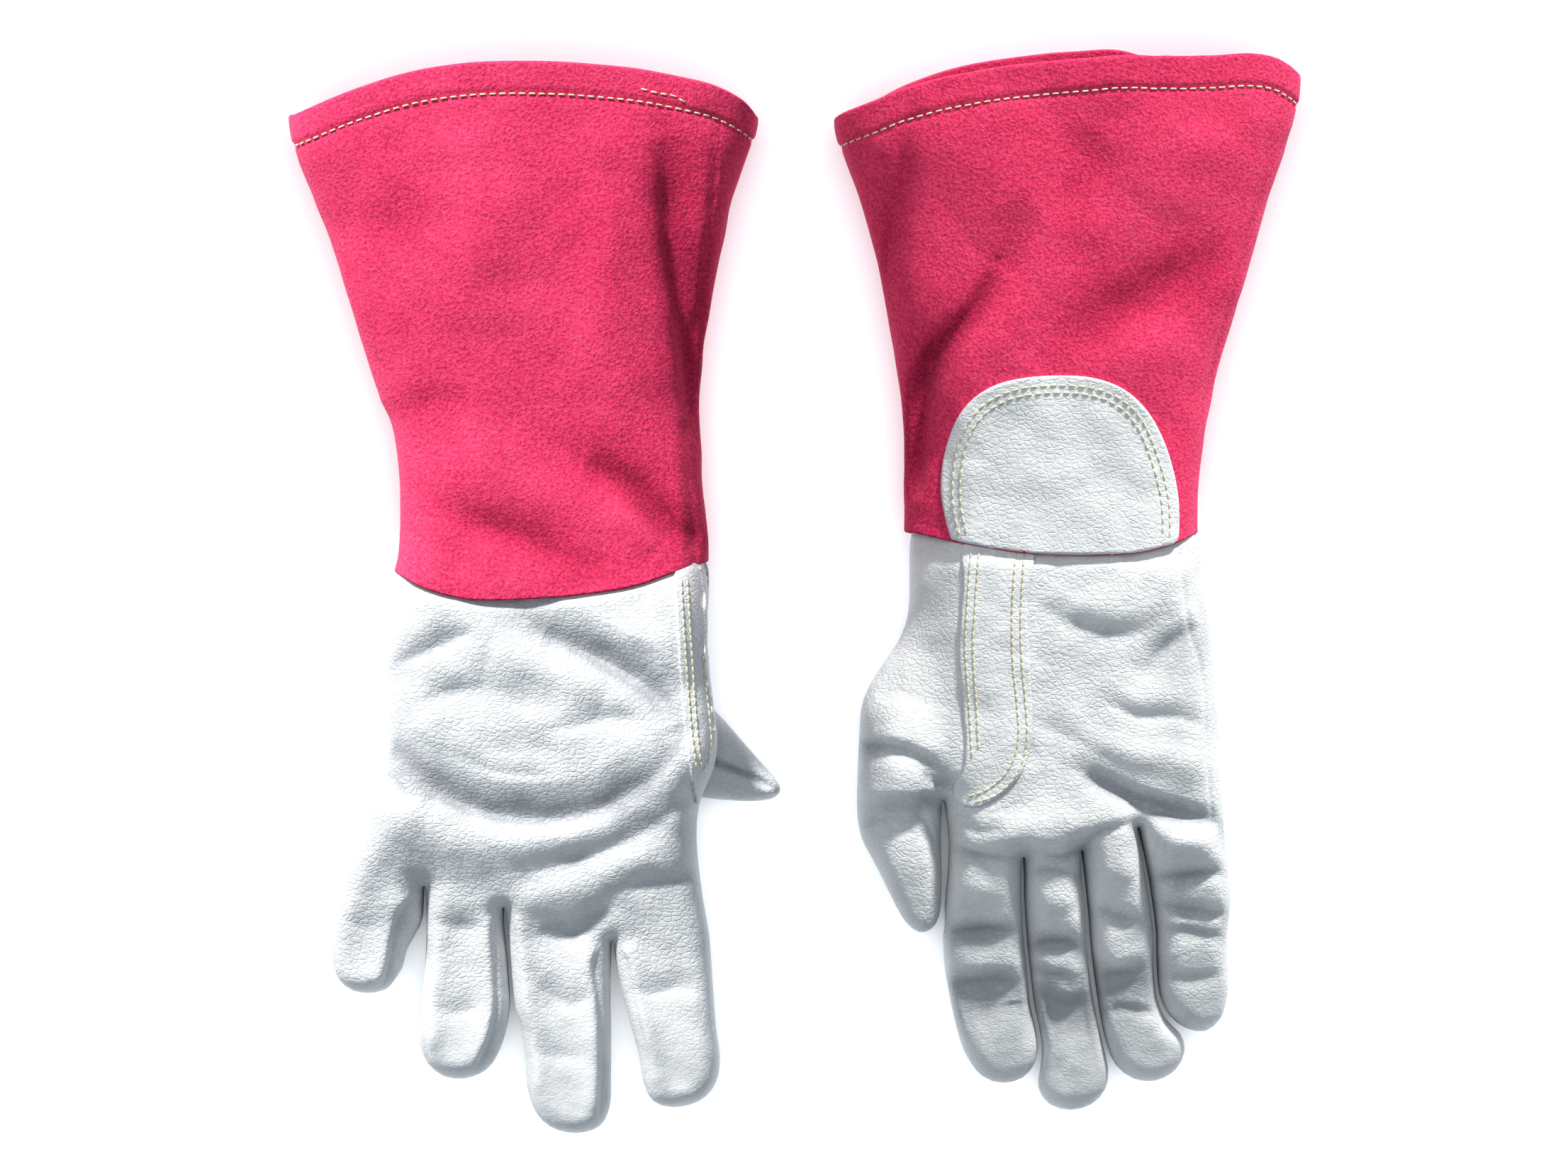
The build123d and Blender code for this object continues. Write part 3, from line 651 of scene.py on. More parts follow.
# ---------- suede cuffs ----------
class Cuff:
    """A flat open tube of suede between a wrist edge and a mouth edge, both given over x."""

    def __init__(self, left, right, low, high, wrist, mouth, mouth_step, folds, seed):
        self.left, self.right = smooth_curve(left, step=4), smooth_curve(right, step=4)
        self.wrist, self.mouth = smooth_curve(wrist, step=3), smooth_curve(mouth, step=3)
        self.low, self.high, self.mouth_step = low, high, mouth_step
        self.folds, self.seed = folds, seed

    def edge(self, line, y):
        order = np.argsort(line[:, 0])
        return np.interp(y, line[order, 0], line[order, 1])

    def surface(self, turn, along):
        """Outer surface before folds, and how far each point is from the mouth. turn is an angle, 0 at
        the +x seam and a quarter turn on top; along is 0 at the wrist and 1 at the mouth."""
        side, lift = np.cos(turn), np.sin(turn)
        across = np.sign(side) * np.abs(side) ** (2 / CUFF_POWER)
        up = np.sign(lift) * np.abs(lift) ** (2 / CUFF_POWER)
        x = across * ROUGH_HALF_WIDTH + (self.left[0, 1] + self.right[0, 1]) / 2
        for _ in range(SETTLING_ROUNDS):
            wrist = np.interp(x, self.wrist[:, 0], self.wrist[:, 1])
            mouth = np.interp(x, self.mouth[:, 0], self.mouth[:, 1])
            mouth = mouth - np.interp(x, *self.mouth_step) * rise(up, -0.1, 0.75)
            y = wrist + along * (mouth - wrist)
            low_x, high_x = self.edge(self.left, y), self.edge(self.right, y)
            x = (low_x + high_x) / 2 + across * (high_x - low_x) / 2
        bottom, top = np.interp(y, *self.low), np.interp(y, *self.high)
        return np.stack([x, y, (bottom + top) / 2 + up * (top - bottom) / 2], axis=-1), mouth - y

    def mesh(self, leather_tree, leather_to_y):
        """Verts, quads, and how far each vertex is from the mouth edge."""
        dense = np.linspace(0, 2 * np.pi, 4001)
        middle, _ = self.surface(dense, np.full(dense.shape, 0.5))
        length = np.r_[0, np.cumsum(np.linalg.norm(np.diff(middle, axis=0), axis=1))]
        count = int(length[-1] / CUFF_STEP)
        turns = np.interp(np.arange(count) / count * length[-1], length, dense)
        alongs = np.linspace(0, 1, int(CUFF_LENGTH / CUFF_STEP))
        turn, along = np.meshgrid(turns, alongs, indexing="ij")
        outer, from_mouth = self.surface(turn, along)
        normal = grid_normals(outer)
        facing_up = rise(normal[..., 2], 0.05, 0.6)
        x, y = outer[..., 0], outer[..., 1]
        bump = creases(x, y, self.folds) * facing_up
        bump += 0.9 * soft_noise(x, y, 24, self.seed) * facing_up
        bump += 0.35 * soft_noise(x + outer[..., 2], y, 9, self.seed + 1)
        hem = 1 - rise(from_mouth, HEM_WIDTH - 1.2, HEM_WIDTH + 0.6)
        bump += HEM_EXTRA * hem - 0.55 * np.exp(-(((from_mouth - HEM_WIDTH) / 1.0) ** 2))
        outer = outer + normal * bump[..., None]
        lift_over(outer, normal, leather_tree, leather_to_y)
        normal = grid_normals(outer)
        outer[..., 2] = np.maximum(outer[..., 2], TABLE_CLEARANCE)
        thick = SUEDE + HEM_EXTRA * hem
        inner = outer - normal * thick[..., None]
        floor = TABLE_CLEARANCE + SUEDE
        inner[..., 2] = np.maximum(inner[..., 2], floor)
        mouth_arc, wrist_arc = rounded_edge(outer, inner, -1), rounded_edge(outer, inner, 0)
        grid = np.concatenate([outer, mouth_arc, inner[:, ::-1], wrist_arc], axis=1)
        grid[..., 2] = np.maximum(grid[..., 2], TABLE_CLEARANCE)
        at_mouth, at_wrist = (np.repeat(from_mouth[:, [end]], EDGE_ROWS, axis=1) for end in (-1, 0))
        away = np.concatenate([from_mouth, at_mouth, from_mouth[:, ::-1], at_wrist], axis=1)
        return ring_mesh(grid), away.ravel(), grid.shape


def rounded_edge(outer, inner, end):
    """Rows of points around the edge between two faces, at their first rows (0) or last rows (-1)."""
    ahead = -1 if end == 0 else 1
    centre = (outer[:, end] + inner[:, end]) / 2
    across = (outer[:, end] - inner[:, end]) / 2
    way = outer[:, end] - outer[:, end - ahead]
    way /= np.linalg.norm(way, axis=1, keepdims=True)
    half = np.linalg.norm(across, axis=1, keepdims=True)
    angles = np.radians([35, 70, 110, 145])
    arc = [centre + across * np.cos(a) * ahead + way * half * np.sin(a) for a in angles]
    return np.stack(arc, axis=1)


def grid_normals(p):
    """Outward normals of a grid that is closed in its first direction."""
    around = np.roll(p, -1, axis=0) - np.roll(p, 1, axis=0)
    along = np.gradient(p, axis=1)
    n = np.cross(around, along)
    n /= np.maximum(np.linalg.norm(n, axis=-1, keepdims=True), 1e-9)
    centre = p.mean(axis=0, keepdims=True)
    outward = np.sign((n * (p - centre)).sum(axis=-1).mean())
    return n * outward


def ring_mesh(grid):
    """A torus of quads from a grid that wraps both ways."""
    n, m = grid.shape[:2]
    i, j = np.meshgrid(np.arange(n), np.arange(m), indexing="ij")
    k, l = (i + 1) % n, (j + 1) % m
    faces = np.stack([i * m + j, k * m + j, k * m + l, i * m + l], axis=-1).reshape(-1, 4)
    return grid.reshape(-1, 3), faces


def lift_over(outer, normal, tree, leather_to_y):
    """Keeps the cuff's wrist end just above the leather that it is sewn over."""
    lift = np.zeros(outer.shape[:2])
    close = (outer[..., 1] < leather_to_y) & (normal[..., 2] > 0.1)
    for place in np.argwhere(close):
        x, y, z = outer[tuple(place)]
        hit = drop(tree, x, y)
        if hit:
            lift[tuple(place)] = max(0, hit[0][2] + CUFF_LIFT - z)
    for row in range(1, lift.shape[1]):
        lift[:, row] = np.maximum(lift[:, row], LIFT_KEPT * lift[:, row - 1])
    outer[..., 2] += lift


CUFF_STEP = 1.3           # size of a suede mesh cell
CUFF_LENGTH = 170
CUFF_POWER = 3.0          # how square a cuff's section is; 2 is an ellipse
ROUGH_HALF_WIDTH = 60     # first guess of a cuff's half width, which the rounds below settle
SETTLING_ROUNDS = 6
EDGE_ROWS = 4             # rows of points around a cuff's rounded edge
CUFF_LIFT = 1.6
LIFT_KEPT = 0.95          # share of a row's lift that the next row towards the mouth keeps at least
SUEDE = 1.4
HEM_WIDTH = 9.6
HEM_EXTRA = 0.5
CUFF_DOWN = Cuff(
    left=[(-6, -131), (2, -130.2), (9, -128.4), (16, -127.4), (30, -127.1), (45, -128.4), (55, -130.2),
          (62, -133.4), (73, -136.7), (87, -141.2), (101, -145.4), (115, -149.9), (129, -155.1),
          (140, -159.6), (150, -162), (158, -162.6), (180, -162)],
    right=[(-6, -25.4), (2, -25), (16, -24.8), (30, -26.6), (45, -27.5), (59, -28.2), (73, -27.3),
           (87, -25.4), (101, -22.8), (115, -20), (129, -16.9), (143, -12.2), (150, -9.9), (158, -8.8),
           (180, -9.6)],
    low=[[-10, 40, 80, 130, 180], [0.3, 0.3, 0.3, 0.3, 0.3]],
    high=[[-10, 25, 60, 100, 140, 180], [34.8, 34.8, 37, 41, 46.5, 50]],
    wrist=[(-132, 7.5), (-125, 4), (-118, 0.5), (-105, -3), (-90, -3.3), (-70, -2), (-50, 1), (-38, 5),
           (-26, 9), (-22, 10)],
    mouth=[(-166, 152), (-162.5, 155.5), (-150, 161.3), (-135, 167), (-120, 171.6), (-105, 173.8),
           (-90, 174.6), (-70, 174.2), (-50, 172.3), (-35, 169.5), (-22, 166.2), (-13, 161), (-9, 155),
           (-6, 150)],
    mouth_step=[[-160, -120, -60, -10], [3.0, 4.2, 4.2, 3.0]],
    folds=[
        (-4.6, 9.0, 5.0, [(-40, 150), (-38, 135), (-37, 116), (-33, 93), (-30, 74), (-28, 54)]),
        (-4.6, 7.0, 6.0, [(-66, 42), (-56, 37.5), (-47, 31), (-40, 23), (-34, 18), (-25, 15)]),
        (-2.6, 7.0, 6.0, [(-108, 24), (-96, 20), (-84, 16), (-72, 10), (-56, 6)]),
        (-1.2, 6.0, 6.0, [(-128, 58), (-114, 62), (-100, 60)]),
        (-1.2, 9.0, 9.0, [(-140, 120), (-122, 118), (-104, 124)]),
        (-0.7, 0.7, 0.7, [(-21, 158), (-23.4, 130), (-25.6, 100), (-26.4, 80)]),
        (1.8, 16.0, 16.0, [(-120, 90), (-100, 110), (-96, 140)]),
        (2.2, 9.0, 9.0, [(-56, 70), (-58, 95), (-58, 130)]),
        (1.8, 6.0, 6.0, [(-60, 26), (-50, 20), (-42, 12)]),
        (1.4, 8.0, 8.0, [(-120, 36), (-95, 36), (-72, 30)]),
    ],
    seed=31,
)
CUFF_UP = Cuff(
    left=[(10, 39.6), (18, 40), (30, 39.5), (45, 40.1), (59, 39.1), (73, 37.2), (87, 34.6), (101, 32.2),
          (115, 28.9), (129, 24.9), (143, 19.6), (150, 17.6), (157, 17.2), (185, 17.6)],
    right=[(10, 138.3), (16, 137.2), (30, 136.6), (45, 138.1), (59, 140.5), (73, 143.3), (87, 147.5),
           (101, 151.8), (115, 156), (129, 160), (143, 164.5), (157, 168.4), (167, 169.6), (185, 170)],
    low=[[0, 60, 120, 180], [0.3, 0.3, 0.3, 0.3]],
    high=[[0, 30, 70, 110, 150, 180], [37.2, 37.6, 40, 44, 49, 52]],
    wrist=[(36, 20), (41, 19), (52, 16.5), (62, 14.5), (80, 12), (100, 11.3), (115, 12), (128, 15),
           (136, 18.5), (141, 20)],
    mouth=[(14, 151), (18, 155), (30, 161.6), (42, 168), (60, 174), (80, 177.2), (100, 179),
           (112, 179.2), (124, 176.4), (140, 176.6), (152, 176.6), (161, 174.6), (168, 169.5), (172, 165)],
    mouth_step=[[20, 42, 60, 80, 100, 112, 124, 140, 165], [1.5, 5.4, 7.4, 7.8, 7.8, 7.2, 4.4, 4.4, 2.5]],
    folds=[
        (-5.2, 3.0, 7.5, [(40, 26), (41.6, 48), (43.4, 66), (48, 77), (57, 86), (63, 94), (69, 106)]),
        (-2.6, 9.0, 12.0, [(90, 84), (104, 90), (120, 98), (134, 105), (148, 111)]),
        (-1.8, 3.5, 4.5, [(29, 84), (31.5, 97), (34, 118), (37.5, 134), (40, 152)]),
        (-1.4, 10.0, 10.0, [(82, 122), (96, 132), (104, 148)]),
        (-0.7, 0.7, 0.7, [(133, 40), (140, 70), (148, 102), (157, 136), (162, 160)]),
        (3.0, 10.0, 10.0, [(58, 40), (60, 66), (70, 84), (82, 100)]),
        (1.6, 11.0, 11.0, [(58, 116), (76, 128), (84, 146)]),
        (1.6, 12.0, 12.0, [(116, 122), (130, 136), (144, 152)]),
        (1.4, 10.0, 10.0, [(104, 72), (118, 76), (134, 84)]),
    ],
    seed=41,
)


# ---------- stitches ----------
STITCH_LENGTH, STITCH_RADIUS = 2.15, 0.3
RAISED_STITCH, SUNK_STITCH = 0.1, -0.36      # how far a stitch's middle stands off its surface


def capsule_rows(rings=4, end_angle=1.25):
    """A unit capsule along x: for rows of points from end to end, their body end, cap place and radius."""
    rows = []
    for k in range(-rings, rings + 1):
        t = end_angle * k / rings
        rows.append((0.5 * np.sign(k), math.sin(t), math.cos(t)))
    return rows


def stitch_mesh(places, length=STITCH_LENGTH, radius=STITCH_RADIUS, segments=8):
    """Rounded, slightly bowed stitches at (point, along, up) places, as one list of verts and faces."""
    verts, faces = [], []
    rows = capsule_rows()
    cap = [(0, 1, 2, 7), (2, 3, 6, 7), (3, 4, 5, 6)]      # three quads over an end's ring of eight
    for point, along, up in places:
        side = np.cross(up, along)
        start = len(verts)
        for body, end, round_size in rows:
            centre = point + along * (body * (length - 2 * radius) + end * radius * 0.9)
            bow = up * radius * 0.35 * (1 - (2 * body) ** 2)
            for a in np.arange(segments) * 2 * math.pi / segments:
                verts.append(centre + bow + radius * round_size * (math.cos(a) * side + math.sin(a) * up))
        for r in range(len(rows) - 1):
            for a in range(segments):
                b = (a + 1) % segments
                low, high = start + r * segments, start + (r + 1) * segments
                faces.append((low + a, high + a, high + b, low + b))
        last = start + (len(rows) - 1) * segments
        faces += [tuple(start + corner for corner in quad) for quad in cap]
        faces += [tuple(last + corner for corner in quad[::-1]) for quad in cap]
    return verts, faces


def stitch_line(tree, line, pitch, from_below=False):
    """Places of stitches along a plan line laid on a surface."""
    lift = SUNK_STITCH if from_below else RAISED_STITCH
    points = resample(smooth_curve(line, step=2), pitch)
    places = []
    for i, (x, y) in enumerate(points):
        hit = drop(tree, x, y, from_below)
        ahead = points[min(i + 1, len(points) - 1)] - points[max(i - 1, 0)]
        if hit is None or not np.any(ahead):
            continue
        point, up = hit
        along = np.array([*ahead, 0.0])
        along /= np.linalg.norm(along)
        along -= up * (along @ up)
        size = np.linalg.norm(along)
        if size > 0.2:
            places.append((point + up * lift, along / size, up))
    return places


def shifted(line, amount):
    """A plan line moved sideways, to its left for a positive amount."""
    curve = smooth_curve(line, step=3)
    way = np.gradient(curve, axis=0)
    way /= np.linalg.norm(way, axis=1, keepdims=True)
    return curve + amount * np.stack([-way[:, 1], way[:, 0]], axis=1)


# ---------- materials ----------
def new_material(name):
    material = bpy.data.materials.new(name)
    material.use_nodes = True
    tree = material.node_tree
    return material, tree, tree.nodes["Principled BSDF"]


def link(tree, source, target):
    tree.links.new(source, target)


def node(tree, kind, **values):
    """A shader node with its settings and input defaults."""
    made = tree.nodes.new(kind)
    for key, value in values.items():
        if hasattr(made, key):
            setattr(made, key, value)
        else:
            made.inputs[key.replace("_", " ")].default_value = value
    return made


def math_node(tree, operation, a, b):
    made = tree.nodes.new("ShaderNodeMath")
    made.operation = operation
    for socket, value in zip(made.inputs, (a, b)):
        if isinstance(value, (int, float)):
            socket.default_value = value
        else:
            link(tree, value, socket)
    return made.outputs[0]


def ramp(tree, source, stops):
    made = tree.nodes.new("ShaderNodeValToRGB")
    elements = made.color_ramp.elements
    while len(elements) < len(stops):
        elements.new(0.5)
    for element, (place, colour) in zip(elements, stops):
        element.position = place
        element.color = (*colour, 1)
    link(tree, source, made.inputs[0])
    return made.outputs[0]


def noise(tree, place, **values):
    """The value of a noise texture at a place."""
    made = node(tree, "ShaderNodeTexNoise", **values)
    link(tree, place, made.inputs["Vector"])
    return made.outputs["Fac"]


def scaled(tree, value, factor):
    return math_node(tree, "MULTIPLY", value, factor)


def bump(tree, height, strength, distance, under=None):
    made = node(tree, "ShaderNodeBump", Strength=strength, Distance=distance)
    link(tree, height, made.inputs["Height"])
    if under is not None:
        link(tree, under, made.inputs["Normal"])
    return made.outputs["Normal"]


def leather_material():
    """White milled leather: a net of fine creases between flat cells, smoother at the fingertips, with
    painted shade darkening its colour in the folds.
    """
    material, tree, shader = new_material("white_pebbled_leather")
    place = tree.nodes.new("ShaderNodeTexCoord").outputs["Object"]
    stretch = node(tree, "ShaderNodeMapping")
    stretch.inputs["Scale"].default_value = (0.62, 1.0, 1.0)
    link(tree, place, stretch.inputs["Vector"])
    wobble = node(tree, "ShaderNodeTexNoise", Scale=330, Detail=2, Roughness=0.5)
    link(tree, place, wobble.inputs["Vector"])
    bend = node(tree, "ShaderNodeMix", data_type="VECTOR")
    bend.inputs[0].default_value = 0.0011
    link(tree, stretch.outputs[0], bend.inputs[4])
    link(tree, wobble.outputs["Color"], bend.inputs[5])
    net = node(tree, "ShaderNodeTexVoronoi", feature="DISTANCE_TO_EDGE", Scale=620)
    fine_net = node(tree, "ShaderNodeTexVoronoi", feature="DISTANCE_TO_EDGE", Scale=1250)
    for cells in (net, fine_net):
        link(tree, bend.outputs[1], cells.inputs["Vector"])
    pores = noise(tree, place, Scale=2600, Detail=2, Roughness=0.6)
    patches = noise(tree, place, Scale=42, Detail=4, Roughness=0.6)
    lines = noise(tree, place, Scale=120, Detail=3, Roughness=0.55)
    grain = node(tree, "ShaderNodeAttribute", attribute_name="grain").outputs["Fac"]
    crease = node(tree, "ShaderNodeAttribute", attribute_name="crease").outputs["Fac"]
    black, white = (0, 0, 0), (1, 1, 1)
    coarse = ramp(tree, net.outputs["Distance"], [(0.0, black), (0.16, (0.8, 0.8, 0.8)), (0.45, white)])
    fine = ramp(tree, fine_net.outputs["Distance"], [(0.0, black), (0.2, white)])
    depth = math_node(tree, "MULTIPLY", math_node(tree, "ADD", lines, 0.25), grain)
    height = math_node(tree, "MULTIPLY", coarse, depth)
    height = math_node(tree, "ADD", height, scaled(tree, fine, 0.22))
    height = math_node(tree, "ADD", height, scaled(tree, pores, 0.1))
    normal = bump(tree, patches, 0.5, 0.0012)
    normal = bump(tree, lines, 0.4, 0.0008, normal)
    normal = bump(tree, height, 0.5, 0.0004, normal)
    link(tree, normal, shader.inputs["Normal"])
    # painted shade: the colour is darkened by fold depth, towards the bluish grey tones at the ramp's low
    # end
    shade = math_node(tree, "SUBTRACT", patches, scaled(tree, crease, 0.5))
    shade = math_node(tree, "ADD", shade, scaled(tree, coarse, 0.08))
    tones = [(0.05, (0.36, 0.375, 0.40)), (0.35, (0.56, 0.58, 0.60)), (0.55, (0.68, 0.695, 0.71)),
             (0.8, (0.73, 0.745, 0.76))]
    link(tree, ramp(tree, shade, tones), shader.inputs["Base Color"])
    gloss = ramp(tree, coarse, [(0.2, (0.7, 0.7, 0.7)), (0.9, (0.47, 0.47, 0.47))])
    link(tree, gloss, shader.inputs["Roughness"])
    shader.inputs["Specular IOR Level"].default_value = 0.4
    return material


def suede_material():
    """Crimson-pink split suede: a short pebbly nap, brushed lighter and darker in soft patches, with
    painted shade in its folds and inside the cuff.
    """
    material, tree, shader = new_material("pink_split_suede")
    place = tree.nodes.new("ShaderNodeTexCoord").outputs["Object"]
    fibres = noise(tree, place, Scale=2400, Detail=3, Roughness=0.7)
    nap = noise(tree, place, Scale=950, Detail=3, Roughness=0.6, Distortion=0.3)
    brushed = noise(tree, place, Scale=30, Detail=3, Roughness=0.55)
    crease = node(tree, "ShaderNodeAttribute", attribute_name="crease").outputs["Fac"]
    mixed = scaled(tree, nap, 0.7)
    mixed = math_node(tree, "ADD", mixed, scaled(tree, brushed, 0.24))
    mixed = math_node(tree, "ADD", mixed, scaled(tree, fibres, 0.1))
    # painted shade: darker in the folds and on the cuff's inner wall
    mixed = math_node(tree, "SUBTRACT", mixed, scaled(tree, crease, 0.2))
    tones = [(0.22, (0.27, 0.009, 0.042)), (0.42, (0.57, 0.024, 0.088)), (0.54, (0.78, 0.044, 0.134)),
             (0.70, (0.93, 0.085, 0.21))]
    link(tree, ramp(tree, mixed, tones), shader.inputs["Base Color"])
    normal = bump(tree, nap, 0.9, 0.0007)
    normal = bump(tree, fibres, 0.5, 0.0003, normal)
    link(tree, normal, shader.inputs["Normal"])
    shader.inputs["Roughness"].default_value = 0.9
    shader.inputs["Specular IOR Level"].default_value = 0.1
    shader.inputs["Sheen Weight"].default_value = 0.22
    shader.inputs["Sheen Roughness"].default_value = 0.5
    shader.inputs["Sheen Tint"].default_value = (1.0, 0.3, 0.5, 1)
    return material


def thread_material():
    """Pale yellow twisted thread."""
    material, tree, shader = new_material("pale_yellow_thread")
    place = tree.nodes.new("ShaderNodeTexCoord").outputs["Object"]
    twist = node(tree, "ShaderNodeTexWave", Scale=900, Distortion=1.5, Detail=1)
    twist.bands_direction = "DIAGONAL"
    link(tree, place, twist.inputs["Vector"])
    tint = noise(tree, place, Scale=400, Detail=2)
    tone = ramp(tree, tint, [(0.3, (0.64, 0.57, 0.32)), (0.7, (0.84, 0.80, 0.58))])
    link(tree, tone, shader.inputs["Base Color"])
    link(tree, bump(tree, twist.outputs["Fac"], 0.5, 0.00025), shader.inputs["Normal"])
    shader.inputs["Roughness"].default_value = 0.6
    return material


LEATHER = leather_material()
SUEDE_PINK = suede_material()
THREAD = thread_material()


# ---------- putting the gloves together ----------
SIDE_WALL = 0.35                            # share of a finger's half height taken by its side wall
FULL_CREASE, FULL_SUEDE_CREASE = 3.2, 3.4   # depth of a fold that gets the whole painted crease shade
SHEET_STEP = 0.75                           # size of a strip's or patch's mesh cell


def along_digit(x, y, turn):
    """How far along a digit a plan point is."""
    return x * math.sin(turn) - y * math.cos(turn)


def digit_point(distance, turn):
    """A row-frame point at a distance along a digit."""
    return tuple(to_row((distance * math.sin(turn), -distance * math.cos(turn), 0)))


def glove_labels(shape, verts, faces, digits, digit_names, palm_up):
    """The name of the CAD piece that each face of a glove belongs to."""
    x, y, z = verts[faces].mean(axis=1).T
    _, _, equator, top, bottom, _, _ = shape.look_up(x, y)
    above, below = ("front", "back") if palm_up else ("back", "front")
    half = np.where(z > equator, above, below)
    labels = np.where(half == "back", "hand_back", "hand_palm").astype(object)
    over, under = z > equator + SIDE_WALL * top, z < equator - SIDE_WALL * bottom
    band = np.where(over, above, np.where(under, below, ""))
    for name, (turn, start, middle, _, _) in digits.items():
        mine = digit_names(x, y) == name
        along = along_digit(x, y, turn)
        base, tip = mine & (along >= start) & (along < middle), mine & (along >= middle)
        if name == "thumb":
            labels[base] = "thumb_base"
        else:
            for side in ("back", "front"):
                labels[base & (band == side)] = f"{name}_base_{side}"
            labels[base & (band == "")] = f"{name}_fourchettes"
        labels[tip] = f"{name}_tip"
    return labels


def place_piece(obj, glove, label, digits):
    """Rides a piece on its hand's body, or, for a digit's piece, leaves it where it stands with its
    transform baked in.
    """
    hand = f"{glove}_hand"
    digit = label.split("_")[0]
    if digit in digits:
        turn, _, _, knuckle, bend = digits[digit]
        if label.endswith("_tip"):
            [digit_point(d, turn) for d in bend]
            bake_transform(obj)
        else:
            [digit_point(d, turn) for d in knuckle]
            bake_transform(obj)
    else:
        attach(obj, hand)


def leather_pieces(glove, shape, net, digits, digit_names, palm_up, smooth_from):
    """Cuts one leather net into the glove's pieces, each standing for its CAD nodes."""
    verts, faces = net
    _, _, equator, _, _, _, detail = shape.look_up(verts[:, 0], verts[:, 1])
    on_top = verts[:, 2] > equator
    fields = {
        # painted shade: how dark the colour is painted in the hand's folds, on its top half only
        "crease": np.clip(-detail / FULL_CREASE, 0, 1) * on_top,
        "grain": 0.3 + 0.7 * rise(verts[:, 1], smooth_from - 30, smooth_from + 25),
    }
    labels = glove_labels(shape, verts, faces, digits, digit_names, palm_up)
    if digits is THUMB_DOWN:
        labels = np.array([label.replace("hand", "thumb_root") for label in labels], object)
    names = np.array([f"{glove}_{label}_leather" for label in labels], object)
    for name, obj in cut_pieces(verts, faces, names, LEATHER, fields).items():
        label = name[len(glove) + 1:-len("_leather")]
        place_piece(obj, glove, label, digits)
        yield label, obj


def make_layer(name, outline, tree, from_below=False, last_y=None):
    """A leather sheet laid on a surface: its object and a tree to lay stitches on. Past last_y, where
    the surface ends, the sheet stays at the height that it has there."""
    layer = Layer(outline, tree, SHEET_THICKNESS, from_below, last_y)
    verts, faces = surface_net(layer, step=SHEET_STEP)
    verts = relax(layer, verts, faces, 2)
    fields = {"grain": np.full(len(verts), 0.85), "crease": np.zeros(len(verts))}
    obj = make_object(name, to_row(verts), faces, [LEATHER], normals_of(verts, faces), fields)
    return obj, tree_of(verts, faces)


def make_thread(name, places):
    """All stitches at some places as one piece."""
    verts, faces = stitch_mesh(places)
    obj = make_object(name, to_row(verts), faces, [THREAD])
    return obj


def blend_cuff(obj, glove, start, end):
    """Keeps a piece fixed where it stands, with its transform baked in; it is not bent over the wrist."""
    ends = [tuple(to_row((0, y, 0))) for y in (start, end)]
    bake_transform(obj)


def cuff_pieces(glove, cuff, tree, leather_to_y, palm_up, bend):
    """Back panel, palm panel and hem from one open tube, fixed where they stand. Gives the tube,
    the numbers of its outer points, a row of them for each turn, and how far points are from the mouth."""
    (verts, faces), from_mouth, (turns, rows, _) = cuff.mesh(tree, leather_to_y)
    turn = np.repeat(np.arange(turns), rows)
    above = "cuff_palm_panel" if palm_up else "cuff_back_panel"
    below = "cuff_back_panel" if palm_up else "cuff_palm_panel"
    labels = np.where(turn < turns / 2, above, below).astype(object)
    labels[from_mouth[faces].mean(axis=1) < HEM_WIDTH] = "cuff_hem"
    fold = creases(verts[:, 0], verts[:, 1], cuff.folds) * (verts[:, 2] > 15)
    outer_rows = (rows - 2 * EDGE_ROWS) // 2
    inside = np.tile(np.arange(rows) >= outer_rows + EDGE_ROWS, turns)
    # painted shade: the inner wall is painted darker as if in shadow, and the top's folds by their depth
    fields = {"crease": np.where(inside, 0.8, np.clip(-fold / FULL_SUEDE_CREASE, 0, 1))}
    names = np.array([f"{glove}_{label}_suede" for label in labels], object)
    for name, obj in cut_pieces(verts, faces, names, SUEDE_PINK, fields).items():
        blend_cuff(obj, glove, *bend)
        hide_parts(name[: -len("_suede")])
    outer = np.arange(turns)[:, None] * rows + np.arange(outer_rows)[None, :]
    return verts, faces, outer, from_mouth


def hem_places(verts, faces, outer, from_mouth, pitch):
    """Stitches all round the cuff along the groove under its hem."""
    normals = normals_of(verts, faces)
    line, ups = [], []
    for row in outer:
        away = from_mouth[row][::-1]
        spot = np.interp(HEM_WIDTH, away, np.arange(len(row)))
        ids = row[::-1]
        near = int(spot)
        share = spot - near
        line.append(verts[ids[near]] * (1 - share) + verts[ids[near + 1]] * share)
        ups.append(normals[ids[near]])
    line, ups = np.array(line + line[:1]), np.array(ups + ups[:1])
    at = resample(np.hstack([line, ups]), pitch)
    places = []
    for here, ahead in zip(at, np.roll(at, -1, axis=0)):
        up = here[3:] / np.linalg.norm(here[3:])
        along = ahead[:3] - here[:3]
        along -= up * (along @ up)
        lift = SUNK_STITCH if up[2] < -0.3 else RAISED_STITCH
        places.append((here[:3] + lift * up, along / np.linalg.norm(along), up))
    return places


def down_names(x, y):
    return finger_of(x, y, DIVIDERS_DOWN, "index")


def up_names(x, y):
    return finger_of(x, y, DIVIDERS_UP, "pinky")


def thumb_only(x, y):
    return np.full(np.shape(x), "thumb", object)


HEM_PITCH, STRIP_PITCH, PATCH_PITCH = 3.2, 2.6, 3.1


